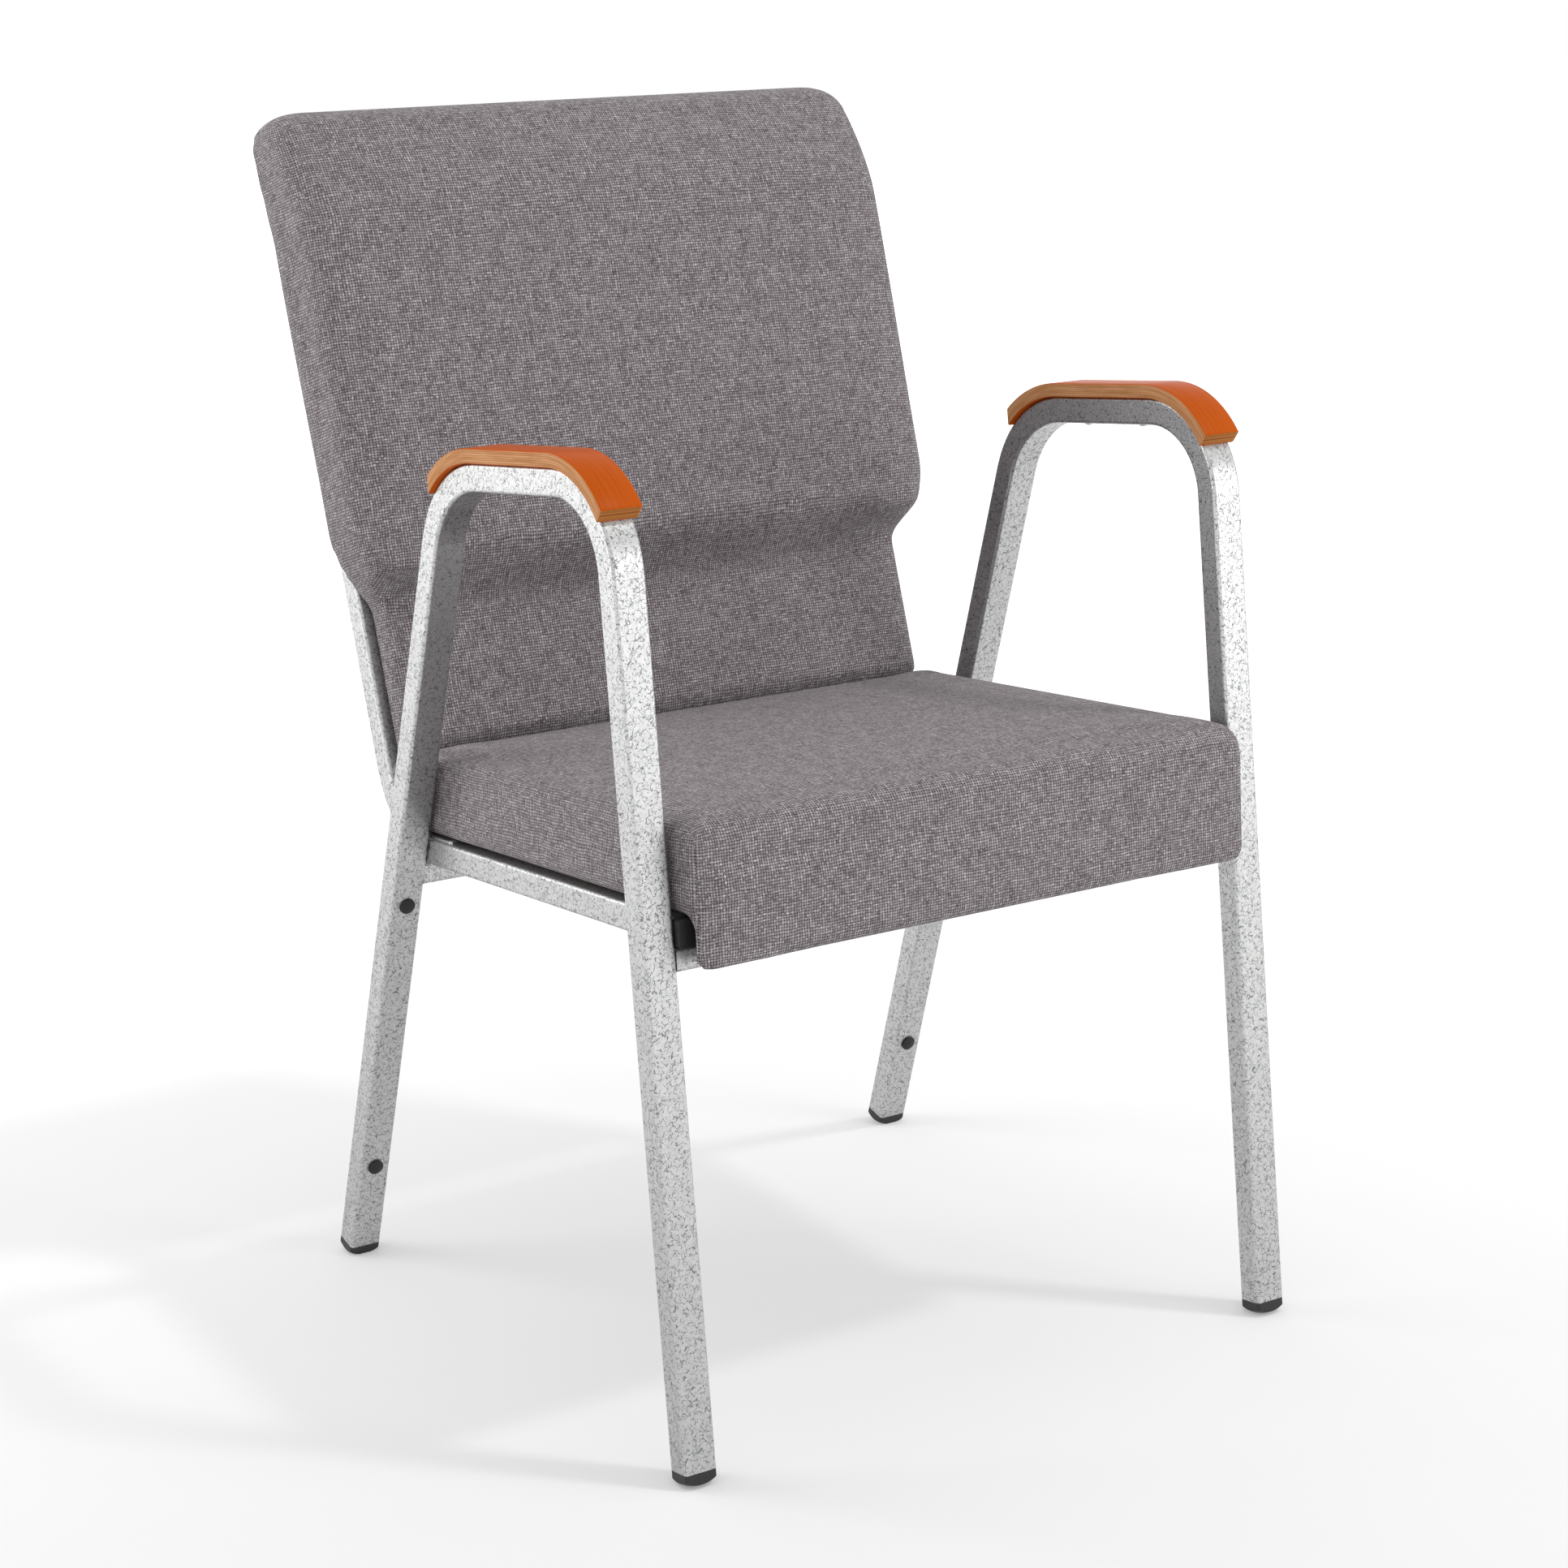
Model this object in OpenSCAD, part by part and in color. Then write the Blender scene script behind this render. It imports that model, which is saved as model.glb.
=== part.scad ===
// Stacking church chair with arms: bent steel tube frame, upholstered seat and back, bent plywood arm caps.
// Millimetres. +Z up, +X to the right seen from the front, +Y to the rear. The floor is z = 0.

/* [Steel tube] */
// Size of the tube across the chair
tube_w = 25; // [22:0.5:28]
// Size of the tube in the plane of its bends
tube_d = 20; // [18:0.5:23]
// Radius of the tube's corners
tube_corner_r = 2.5; // [2:0.25:4]
// Thickness of the tube's wall
tube_wall = 1.5; // [1:0.1:2]

/* [Side frames] */
// Width over the two side frames
frame_w = 532; // [524:1:620]
// Distance from the middle of a front foot to the middle of a rear foot
foot_spread = 483; // [465:1:500]
// Lean of the front legs from upright, in degrees
front_lean = 7.5; // [6:0.5:9]
// Lean of the rear legs from upright, in degrees
rear_lean = 15.9; // [14.5:0.1:16.5]
// Height of the arm tube's middle line, halfway between the feet
arm_h = 650; // [630:1:680]
// Fall of the arm towards the rear, in degrees
arm_fall = 7; // [4:0.5:9]
// Middle-line radius of the bend over the front leg
front_bend_r = 60; // [50:1:66]
// Middle-line radius of the bend over the rear leg
rear_bend_r = 78; // [66:1:84]

/* [Seat and back tubes] */
// Height of the seat rails' middle line, halfway between the feet
rail_h = 359.7; // [350:0.1:370]
// Rise of the seat towards the front, in degrees
seat_pitch = 4.5; // [3:0.5:6]
// Lean of the back from upright, in degrees
back_lean = 18.8; // [17:0.1:20]
// Distance along the rails from the chair's middle to where the back tubes' line meets them
back_reach = 185.5; // [180:0.5:192]
// Distance along the rails from the chair's middle to the front ends of the rail caps
rail_reach = 209.5; // [207:0.5:211]
// Middle-line radius of the bend between rail and upright
rail_bend_r = 72; // [55:1:80]
// How far the back tubes end below the top of the pad
upright_short = 134; // [120:1:150]
// Height of the two cross tubes
cross_h = 16.5; // [15:0.5:20]
// Depth of the two cross tubes, front to rear
cross_d = 25; // [20:0.5:28]

/* [Seat] */
// Gap between the seat pad and each side frame
seat_gap = 4; // [3:0.5:8]
// Distance along the rails from the chair's middle to the pad's front face
seat_front = 226; // [222:0.5:232]
// Distance along the rails from the chair's middle to the pad's rear face
seat_rear = 157; // [150:0.5:161.5]
// Thickness of the pad at its front edge, board included
seat_pad_t = 64; // [55:0.5:75]
// How much thinner the pad is at its rear edge
seat_taper = 4; // [0:0.5:6]
// Height of the crown in the middle of the pad over its edges
seat_crown = 7; // [3:0.5:12]
// How far the front skirt hangs below the underside of the pad
skirt_drop = 37.5; // [30:0.5:42]
// Thickness of the front skirt
skirt_t = 9; // [8:0.5:12]
// Thickness of the plywood boards in the seat and the back
board_t = 12; // [9:0.5:15]
// Thickness of the flat steel seat brackets
bracket_t = 2; // [1.5:0.25:3]

/* [Back] */
// Distance up the back tubes from the line of the rails to the pad's bottom edge
back_start = 58; // [56:0.5:70]
// Height of the back pad, measured up the back tubes
back_h = 489; // [470:1:520]
// How far the upper part of the back pad stays inside the frame's width on each side
back_inset = 8; // [4:0.5:16]
// How far the lower part of the back pad stays inside the frame's width on each side
waist_inset = 32; // [28:0.5:38]
// Thickness of the upper part of the pad
back_pad_t = 62; // [56:0.5:72]
// Thickness of the pad where the upper part begins
lumbar_t = 56.5; // [46:0.5:60]
// Thickness of the lower part of the pad
waist_t = 25.5; // [24:0.5:34]
// Height over the pad's bottom edge at which the pad begins to widen
shoulder_low = 116; // [110:1:130]
// Height over the pad's bottom edge at which it has its full width
shoulder_high = 174; // [160:1:185]
// Height over the pad's bottom edge at which its front begins to step forward
lumbar_low = 113; // [105:1:125]
// Height over the pad's bottom edge at which the step forward ends
lumbar_high = 141; // [138:1:165]
// Length of the top of the pad that rolls to the rear
roll_len = 96; // [70:1:110]
// How far the front of the pad rolls to the rear at the top
roll_front = 33; // [26:1:44]
// How far the rear of the pad rolls to the rear at the top
roll_rear = 14; // [6:0.5:18]
// Height of the crown in the middle of the back pad over its edges
back_crown = 5; // [2:0.5:10]

/* [Arm caps] */
// Width of the bent plywood caps
cap_w = 32; // [29:0.5:36]
// Thickness of the caps
cap_t = 10.5; // [8:0.5:13]
// How far a cap wraps down the front bend, in degrees
cap_front_arc = 57.5; // [45:0.5:70]
// How far a cap wraps down the rear bend, in degrees
cap_rear_arc = 39; // [28:1:48]

/* [Feet and stops] */
// Height of the tube ends over the floor
foot_h = 10; // [9:0.5:11]
// Radius of the domed sole of a glide
glide_dome_r = 24; // [22:0.5:30]
// Distance up a rear leg from its end to the lower stacking stop
stop_low = 75; // [60:1:100]
// Distance up a rear leg from its end to the upper stacking stop
stop_high = 311; // [290:1:316]
// Diameter of a stacking stop's button
stop_d = 12; // [10:0.5:14]

/* [Hidden] */
$fn = 48;

// Which side of the chair a piece is on
LEFT = -1;
RIGHT = 1;

// Clearances: a plastic insert in its tube, a screw in its hole, a soft pad beside a hard piece
insert_gap = 0.25;
hole_gap = 0.3;
pad_gap = 0.3;
// How far a cut runs past the face that it opens
overrun = 1;
// A straight run reaches this far into the bends at its ends, where the bent wall lies inside its own
lap = 2;
// How much a bend's wall is thinned on each face
bend_thinning = 0.05;

// Side frame in its own plane: the corners that its straight runs would make without their bends
front_foot_y = -foot_spread / 2;
rear_foot_y = foot_spread / 2;
leg_rise = arm_h - foot_h;
front_corner_y = (front_foot_y + leg_rise * tan(front_lean)) / (1 + tan(arm_fall) * tan(front_lean));
rear_corner_y = (rear_foot_y - leg_rise * tan(rear_lean)) / (1 - tan(arm_fall) * tan(rear_lean));
front_corner_h = leg_rise - front_corner_y * tan(arm_fall);
rear_corner_h = leg_rise - rear_corner_y * tan(arm_fall);
front_turn = 90 + arm_fall - front_lean;
rear_turn = 90 - arm_fall - rear_lean;
front_setback = front_bend_r * tan(front_turn / 2);
rear_setback = rear_bend_r * tan(rear_turn / 2);
front_run = front_corner_h / cos(front_lean) - front_setback;
arm_run = (rear_corner_y - front_corner_y) / cos(arm_fall) - front_setback - rear_setback;
rear_run = rear_corner_h / cos(rear_lean) - rear_setback;
frame_x = (frame_w - tube_w) / 2;
bore_corner_r = max(tube_corner_r - tube_wall, tube_wall / 3);

// Pads: the seat fits between the side frames, and the back reaches over them
seat_w = frame_w - 2 * (tube_w + seat_gap);
back_w = frame_w - 2 * back_inset;
back_waist_w = frame_w - 2 * waist_inset;

// Seat rail and back upright: one tube on each side, inboard of the side frame
rail_x = frame_x - tube_w;
upright_len = back_start + back_h - upright_short;
rail_turn = 90 + seat_pitch - back_lean;
rail_setback = rail_bend_r * tan(rail_turn / 2);
cap_head_t = 8;
plug_head_t = 3;
rail_start = cap_head_t - rail_reach;
rail_run = back_reach - rail_setback - rail_start;
upright_run = upright_len - rail_setback - plug_head_t;

// Cross tubes: they lie under the rails, between the side frames
cross_len = frame_w - 2 * tube_w;
cross_w_level = -tube_d / 2 - cross_h / 2;

// Where the middle line of a leg passes a level below the rails, measured along the rails
function leg_at(foot_y, slope, level) =
    (foot_y + slope * (rail_h + level * cos(seat_pitch) - foot_h) - level * sin(seat_pitch))
    / (cos(seat_pitch) + slope * sin(seat_pitch));
front_cross_y = leg_at(front_foot_y, tan(front_lean), cross_w_level) + (cross_d - tube_d) / 2;
rear_cross_y = leg_at(rear_foot_y, -tan(rear_lean), -tube_d / 2 - cross_h)
    - tube_d / 2 / cos(rear_lean) + cross_d / 2;

// Seat: levels over the rails' middle line
bracket_level = tube_d / 2;
board_level = bracket_level + bracket_t;
pad_top_front = board_level + seat_pad_t;
pad_top_rear = pad_top_front - seat_taper;
skirt_level = board_level - skirt_drop;
board_margin = 7;
board_front = -seat_front + skirt_t + 2 * board_margin;
board_rear = seat_rear - board_margin;
board_w = seat_w - 2 * board_margin;
board_corner_r = 18;
cover_t = 0.6;
bracket_w = 30;
bracket_reach = 62;
bracket_inset = 2;
bracket_front_in = 45;
bracket_bend_gap = 11;
bracket_front_y = bracket_front_in - rail_reach;
bracket_rear_y = back_reach - rail_setback - bracket_bend_gap;
screw_r = 3;
screw_head_r = 6;
screw_head_t = 3;
screw_end_gap = 1;
tee_barrel_r = 4;
tee_flange_r = 9.5;
tee_flange_t = 1.5;
seat_screw_x = rail_x + tube_w / 2 - bracket_inset - bracket_reach + bracket_w / 2;

// Back: its pad stands in front of the uprights, with a thin panel and a board in a pocket
panel_t = 4;
panel_margin = 3;
waist_r = 9;
lumbar_r = 19;
pad_rear_r = 4;
back_corner_r = 33;
back_corner_power = 0.78;
back_top_r = 19;
shoulder_power = 0.45;
lumbar_power = 1.54;
front_roll_power = 1.57;
rear_roll_power = 1;
back_bottom_r = 8;
back_board_margin = 9;
back_board_roll_gap = 4;
back_board_top = back_h - roll_len - back_board_roll_gap;
back_board_bottom = 14;
back_screw_end = 25;
back_screw_shoulder = 26;
back_screw_high = upright_len - back_start - back_screw_end;
back_screw_low = shoulder_high + back_screw_shoulder;

// Seat pad: roundings
seat_side_r = 12;
seat_front_r = 18;
seat_rear_r = 11;
seat_under_r = 4;
skirt_r = 5;
skirt_fillet_r = 8.5;
front_corner_share = 0.6;
rear_corner_share = 1.4;
skirt_corner_share = 0.8;
under_share = 0.12;
side_pull = 1.5;
front_pull = 1.5;
seat_rings = 9;
corner_steps = 5;

// Arm caps: edges, bevels of the end faces in degrees, screws
cap_edge_r = 1.2;
cap_front_bevel = 15;
cap_rear_bevel = 38;
cap_spare_arc = 5;
cap_screw_share = [0.2, 0.8];
cap_screw_r = 2;
cap_screw_head_r = 4;
cap_screw_head_t = 2.4;
cap_screw_bite = 7;

// Glides and stops
glide_stem = 18;
glide_head = 3 * foot_h / 2;
stop_proud = 3;
stop_stem_r = 2.5;
stop_stem = 5;
stop_crown_r = 13;
sole_cut = 0.8;

// Colours of the finishes
silver_vein = [0.72, 0.73, 0.72];
zinc = [0.62, 0.64, 0.66];
black_plastic = [0.07, 0.07, 0.08];
grey_fabric = [0.47, 0.44, 0.46];
bare_ply = [0.78, 0.62, 0.42];
cherry = [0.76, 0.33, 0.1];
dust_cloth = [0.1, 0.1, 0.11];

// Frames of reference

module chair() {
    translate([0, -middle_y, 0]) children();
}

// Up the front leg of a side frame, from the end of the tube
module at_front_foot(side) {
    translate([side * frame_x, front_foot_y, foot_h]) rotate([-front_lean, 0, 0]) children();
}

// Up the rear leg of a side frame, from the end of the tube
module at_rear_foot(side) {
    translate([side * frame_x, rear_foot_y, foot_h]) rotate([rear_lean, 0, 0]) children();
}

// Along the arm, from the end of the front bend towards the rear
module at_arm(side) {
    at_front_foot(side) translate([0, 0, front_run]) past_bend(front_turn, front_bend_r) children();
}

// Along the rails: y to the rear, z square to the seat, zero on the rails' middle line
module at_seat() {
    translate([0, 0, rail_h]) rotate([-seat_pitch, 0, 0]) children();
}

// Up the back: z along the uprights, y square to the back, zero on the uprights' front faces
module at_back() {
    translate([0, back_reach * cos(seat_pitch), rail_h - back_reach * sin(seat_pitch)])
        rotate([-back_lean, 0, 0]) translate([0, -tube_d / 2, 0]) children();
}

// Sections and sweeps

module rounded_rect(w, d, r) {
    square([w - 2 * r, d], center = true);
    square([w, d - 2 * r], center = true);
    for (x = [-1, 1], y = [-1, 1]) translate([x * (w / 2 - r), y * (d / 2 - r)]) circle(r);
}

module bore_section(gap = 0) {
    rounded_rect(tube_w - 2 * (tube_wall + gap), tube_d - 2 * (tube_wall + gap), bore_corner_r);
}

module tube_section(thinning = 0) {
    difference() {
        rounded_rect(tube_w - 2 * thinning, tube_d - 2 * thinning, tube_corner_r);
        bore_section(-thinning);
    }
}

// A bend of the section that starts along +Z and turns towards +Y
module bend(turn, r) {
    translate([0, r, 0]) rotate([90, 0, -90])
        rotate_extrude(angle = turn) translate([r, 0]) rotate(90) children();
}

// The place and heading at the end of such a bend
module past_bend(turn, r) {
    translate([0, r * (1 - cos(turn)), r * sin(turn)]) rotate([-turn, 0, 0]) children();
}

// Straight runs and bends, one after the other: each step is [run, turn, bend radius].
// The first child is the section of the runs, and the second one that of the bends.
module follow(steps, before = 0) {
    run = steps[0][0];
    turn = steps[0][1];
    r = steps[0][2];
    after = turn > 0 ? lap : 0;
    if (run > 0) translate([0, 0, -before]) linear_extrude(before + run + after) children(0);
    translate([0, 0, run]) {
        if (turn > 0) bend(turn, r) children(1);
        if (len(steps) > 1) past_bend(turn, r) follow([for (i = [1 : len(steps) - 1]) steps[i]], lap) {
            children(0);
            children(1);
        }
    }
}

// Side frames

module side_frame(side) {
    color(silver_vein) chair() difference() {
        at_front_foot(side) follow([
            [front_run, front_turn, front_bend_r],
            [arm_run, rear_turn, rear_bend_r],
            [rear_run, 0, 0]
        ]) {
            tube_section();
            tube_section(bend_thinning);
        }
        for (share = cap_screw_share) at_arm(side) translate([0, 0, share * arm_run])
            rotate([90, 0, 0]) cylinder(h = tube_d + 2 * overrun, r = cap_screw_r + hole_gap, center = true);
        for (h = [stop_low, stop_high]) at_rear_foot(side) translate([0, -tube_d / 2 - overrun, h])
            rotate([-90, 0, 0]) cylinder(h = tube_wall + 2 * overrun, r = stop_stem_r + hole_gap);
    }
}

// Seat rail and back upright in one tube

module seat_back_tube(side) {
    color(silver_vein) chair() difference() {
        at_seat() translate([side * rail_x, rail_start, 0]) rotate([90, 0, 180])
            follow([[rail_run, rail_turn, rail_bend_r], [upright_run, 0, 0]]) {
                tube_section();
                tube_section(bend_thinning);
            }
        for (h = [back_screw_low, back_screw_high])
            at_back() translate([side * rail_x, tube_d / 2, back_start + h]) rotate([90, 0, 0])
                cylinder(h = tube_d + 2 * overrun, r = screw_r + hole_gap, center = true);
    }
}

module cross_tube(y) {
    color(silver_vein) chair() at_seat() translate([0, y, cross_w_level]) rotate([90, 0, 90])
        linear_extrude(cross_len, center = true) difference() {
            rounded_rect(cross_d, cross_h, tube_corner_r);
            rounded_rect(cross_d - 2 * tube_wall, cross_h - 2 * tube_wall, bore_corner_r);
        }
}

// Flat steel brackets, welded on the rails and reaching inwards under the seat board

module each_bracket() {
    for (side = [LEFT, RIGHT], y = [bracket_front_y, bracket_rear_y]) translate([side * seat_screw_x, y, 0])
        children();
}

module seat_brackets() {
    color(zinc) chair() at_seat() difference() {
        for (side = [LEFT, RIGHT], y = [bracket_front_y, bracket_rear_y])
            translate([side * (seat_screw_x - bracket_w / 2 + bracket_reach / 2), y, bracket_level])
                linear_extrude(bracket_t) rounded_rect(bracket_reach, bracket_w, tube_corner_r);
        each_bracket() translate([0, 0, bracket_level - overrun])
            cylinder(h = bracket_t + 2 * overrun, r = screw_r + hole_gap);
    }
}

// Black plastic ends of the tubes

module insert(head, stem) {
    difference() {
        union() {
            linear_extrude(head) rounded_rect(tube_w, tube_d, tube_corner_r);
            translate([0, 0, -stem]) linear_extrude(stem + overrun) bore_section(insert_gap);
        }
        translate([0, 0, -stem - overrun]) linear_extrude(stem)
            bore_section(insert_gap + tube_wall);
    }
}

module rail_cap(side) {
    color(black_plastic) chair() translate([side * rail_x, 0, 0]) at_seat() translate([0, rail_start, 0])
        rotate([90, 0, 0]) insert(cap_head_t, glide_stem);
}

module upright_plug(side) {
    color(black_plastic) chair() at_back()
        translate([side * rail_x, tube_d / 2, upright_len - plug_head_t])
            insert(plug_head_t, glide_stem);
}

// A glide: a ribbed stem in the leg, and a head with a domed sole, cut flat where it meets the floor

module glide(lean) {
    intersection() {
        union() {
            translate([0, 0, -glide_head]) linear_extrude(glide_head)
                rounded_rect(tube_w, tube_d, tube_corner_r);
            translate([0, 0, -overrun]) linear_extrude(glide_stem + overrun) bore_section(insert_gap);
        }
        translate([0, 0, dome_up / cos(lean)]) sphere(glide_dome_r);
        rotate([lean, 0, 0]) translate([-tube_w, -2 * tube_d, -foot_h])
            cube([2 * tube_w, 4 * tube_d, 2 * glide_stem + foot_h]);
    }
}

module front_glide(side) {
    color(black_plastic) chair() at_front_foot(side) glide(front_lean);
}

module rear_glide(side) {
    color(black_plastic) chair() at_rear_foot(side) glide(-rear_lean);
}

// Rubber buttons on the fronts of the rear legs, which keep stacked chairs apart

module stack_stops(side) {
    color(black_plastic) chair() for (h = [stop_low, stop_high])
        at_rear_foot(side) translate([0, -tube_d / 2, h]) rotate([90, 0, 0]) {
            intersection() {
                cylinder(h = stop_proud, r = stop_d / 2);
                translate([0, 0, stop_proud - stop_crown_r]) sphere(stop_crown_r);
            }
            translate([0, 0, -stop_stem]) cylinder(h = stop_stem + stop_proud / 2, r = stop_stem_r);
        }
}

// Fasteners: a pan head below z = 0 and a shank above it

module pan_screw(r, head_r, head_t, length) {
    dome_r = (head_r * head_r + head_t * head_t) / (2 * head_t);
    cylinder(h = length, r = r);
    intersection() {
        translate([0, 0, -head_t]) cylinder(h = head_t, r = head_r);
        translate([0, 0, dome_r - head_t]) sphere(dome_r);
    }
}

module tee_nut() {
    difference() {
        union() {
            translate([0, 0, -tee_flange_t]) cylinder(h = tee_flange_t, r = tee_flange_r);
            translate([0, 0, screw_head_t - board_t]) cylinder(h = board_t - screw_head_t, r = tee_barrel_r);
        }
        translate([0, 0, -board_t - overrun]) cylinder(h = board_t + 2 * overrun, r = screw_r + hole_gap);
    }
}

module tee_nut_seat(depth) {
    translate([0, 0, -depth - overrun]) cylinder(h = depth + 2 * overrun, r = tee_barrel_r + insert_gap);
    translate([0, 0, -tee_flange_t]) cylinder(h = tee_flange_t + overrun, r = tee_flange_r + insert_gap);
}

// Seat board, screws and nuts

module board_outline(margin = 0) {
    translate([0, (board_front + board_rear) / 2])
        rounded_rect(board_w + 2 * margin, board_rear - board_front + 2 * margin, board_corner_r + margin);
}

module seat_board() {
    color(bare_ply) chair() at_seat() difference() {
        translate([0, 0, board_level]) linear_extrude(board_t) board_outline();
        each_bracket() translate([0, 0, board_level + board_t]) tee_nut_seat(board_t);
    }
}

module seat_tee_nuts() {
    color(zinc) chair() at_seat() each_bracket() translate([0, 0, board_level + board_t]) tee_nut();
}

module seat_screws() {
    color(zinc) chair() at_seat() each_bracket() translate([0, 0, bracket_level])
        pan_screw(screw_r, screw_head_r, screw_head_t, bracket_t + board_t - screw_end_gap);
}

// Thin black cloth over the underside of the board, between the rails

module seat_dust_cover() {
    color(dust_cloth) chair() at_seat() difference() {
        translate([0, 0, board_level - cover_t]) linear_extrude(cover_t) intersection() {
            board_outline(-board_margin);
            square([2 * rail_x - tube_w - board_margin, 2 * seat_front], center = true);
        }
        for (side = [LEFT, RIGHT], y = [bracket_front_y, bracket_rear_y])
            translate([side * (seat_screw_x - bracket_w / 2 + bracket_reach / 2), y, board_level - cover_t])
                translate([0, 0, -overrun]) linear_extrude(cover_t + 2 * overrun)
                    rounded_rect(bracket_reach + 2 * overrun, bracket_w + 2 * overrun, tube_corner_r);
    }
}

// Soft pads: closed loops of rounded corners, joined ring to ring

// One rounded corner of a loop at p, between its neighbours, as steps + 1 points; a radius of 0 is one point
function corner(before, p, after, r, steps) =
    r == 0 ? [p] :
    let (
        a = (before - p) / norm(before - p),
        b = (after - p) / norm(after - p),
        half = acos(max(-1, min(1, a * b))) / 2,
        centre = p + (a + b) / norm(a + b) * r / sin(half),
        from = p + a * r / tan(half) - centre,
        to = p + b * r / tan(half) - centre,
        sweep = 180 - 2 * half
    )
    [for (i = [0 : steps]) let (k = i / steps)
        centre + (from * sin((1 - k) * sweep) + to * sin(k * sweep)) / sin(sweep)];

// A closed loop from corners [x, y, radius, steps]
function loop(corners) = [
    for (i = [0 : len(corners) - 1])
        let (
            n = len(corners),
            before = corners[(i + n - 1) % n],
            p = corners[i],
            after = corners[(i + 1) % n]
        )
        each corner([before[0], before[1]], [p[0], p[1]], [after[0], after[1]], p[2], p[3])
];

// A solid through rings of equally many points, closed at each end by a fan about the point hubs[0] or hubs[1]
module skin(rings, hubs) {
    n = len(rings[0]);
    m = len(rings);
    last = (m - 1) * n;
    points = concat([for (ring = rings) each ring], hubs);
    walls = [
        for (i = [0 : m - 2], j = [0 : n - 1])
            let (a = i * n + j, b = i * n + (j + 1) % n)
            each [[a, a + n, b], [b, a + n, b + n]]
    ];
    ends = [
        for (j = [0 : n - 1])
            each [[m * n, j, (j + 1) % n], [m * n + 1, last + (j + 1) % n, last + j]]
    ];
    polyhedron(points, concat(walls, ends));
}

// Smooth rise from 0 to 1
function ease(k) = let (c = max(0, min(1, k))) c * c * (3 - 2 * c);

// Seat pad: side views set one beside the other, from the left edge to the right one
seat_half = seat_w / 2;
seat_mid_y = (seat_rear - seat_front) / 2;
seat_reach = (seat_rear + seat_front) / 2;
top_shares = [0.12, 0.27, 0.42, 0.58, 0.73, 0.88];

function seat_profile(inset) =
    let (
        under = board_level + inset * under_share,
        front = -seat_front + inset * front_corner_share,
        skirt_back = -seat_front + skirt_t,
        skirt_share = (skirt_back - front) / skirt_t,
        skirt_end = skirt_level + inset * skirt_corner_share,
        rear = seat_rear - inset * rear_corner_share,
        top_f = pad_top_front - inset,
        top_r = pad_top_rear - inset
    )
    loop(concat(
        [[rear, under, seat_under_r, 2], [rear, top_r, seat_rear_r, 3]],
        [for (share = top_shares) [rear + share * (front - rear), top_r + share * (top_f - top_r), 0, 0]],
        [[front, top_f, seat_front_r, corner_steps]],
        [[front, (top_f + skirt_level) / 2, 0, 0]],
        [[front, skirt_end, skirt_r * skirt_share, 3]],
        [[skirt_back, skirt_end, skirt_r / 2 * skirt_share, 2]],
        [[skirt_back, under, skirt_fillet_r, 3]],
        [[seat_mid_y, under, 0, 0]]
    ));

function seat_point(x, p) =
    let (
        across = 1 - pow(x / seat_half, 2),
        along = max(0, 1 - pow((p[0] - seat_mid_y) / seat_reach, 2)),
        up = ease((p[1] - board_level - board_t) / (seat_pad_t / 2)),
        ahead = ease((seat_mid_y - p[0]) / seat_reach) * ease((skirt_t + seat_mid_y - p[0]) / seat_reach)
    )
    [
        x * (1 - side_pull * along / seat_half),
        p[0] + front_pull * across * ahead,
        p[1] + seat_crown * across * along * up
    ];

module seat_form() {
    edge = [for (i = [0 : corner_steps]) 90 * i / corner_steps];
    rows = concat(
        [for (a = edge) [-seat_half + seat_side_r * (1 - cos(a)), seat_side_r * (1 - sin(a))]],
        [for (i = [1 : seat_rings]) [(seat_half - seat_side_r) * (2 * i / (seat_rings + 1) - 1), 0]],
        [for (i = [0 : corner_steps]) let (a = edge[corner_steps - i])
            [seat_half - seat_side_r * (1 - cos(a)), seat_side_r * (1 - sin(a))]]
    );
    hub = [-seat_front + skirt_t - seat_side_r * (1 - front_corner_share) / 6, board_level + board_t];
    skin(
        [for (row = rows) [for (p = seat_profile(row[1])) seat_point(row[0], p)]],
        [seat_point(-seat_half, hub), seat_point(seat_half, hub)]
    );
}

module seat_cushion() {
    color(grey_fabric) chair() at_seat() difference() {
        seat_form();
        translate([0, 0, board_level - overrun]) linear_extrude(board_t + pad_gap + overrun)
            board_outline(pad_gap);
    }
}

// Back pad: level sections set one above the other, from the bottom edge to the top one
roll_low = back_h - roll_len;
function rise(h, low, high, power = 1) = pow(ease((h - low) / (high - low)), power);
function half_width(h) =
    (back_waist_w + (back_w - back_waist_w) * rise(h, shoulder_low, shoulder_high, shoulder_power)) / 2;
function lumbar_share(h) = rise(h, lumbar_low, lumbar_high, lumbar_power);
function roll_share(h, power) = pow(max(0, (h - roll_low) / roll_len), power);
function front_depth(h) = waist_t + (lumbar_t - waist_t) * lumbar_share(h)
    + (back_pad_t - lumbar_t) * rise(h, lumbar_high, roll_low) - roll_front * roll_share(h, front_roll_power);
step_levels = 12;
front_shares = [-0.75, -0.5, -0.25, 0, 0.25, 0.5, 0.75];

// Section at a height h: inset from its sides by side_in and from front and rear by face_in
function back_section(h, side_in, face_in) =
    let (
        w = half_width(h) - side_in,
        front = face_in - front_depth(h),
        rear = roll_rear * roll_share(h, rear_roll_power) - face_in / 2,
        front_r = waist_r + (lumbar_r - waist_r) * lumbar_share(h) - face_in / 2,
        rear_r = pad_rear_r * (1 - face_in / back_top_r / 2)
    )
    loop(concat(
        [[-w, rear, rear_r, 2], [-w, front, front_r, corner_steps]],
        [for (share = front_shares) [share * (w - front_r), front, 0, 0]],
        [[w, front, front_r, corner_steps], [w, rear, rear_r, 2], [0, rear, 0, 0]]
    ));

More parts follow.
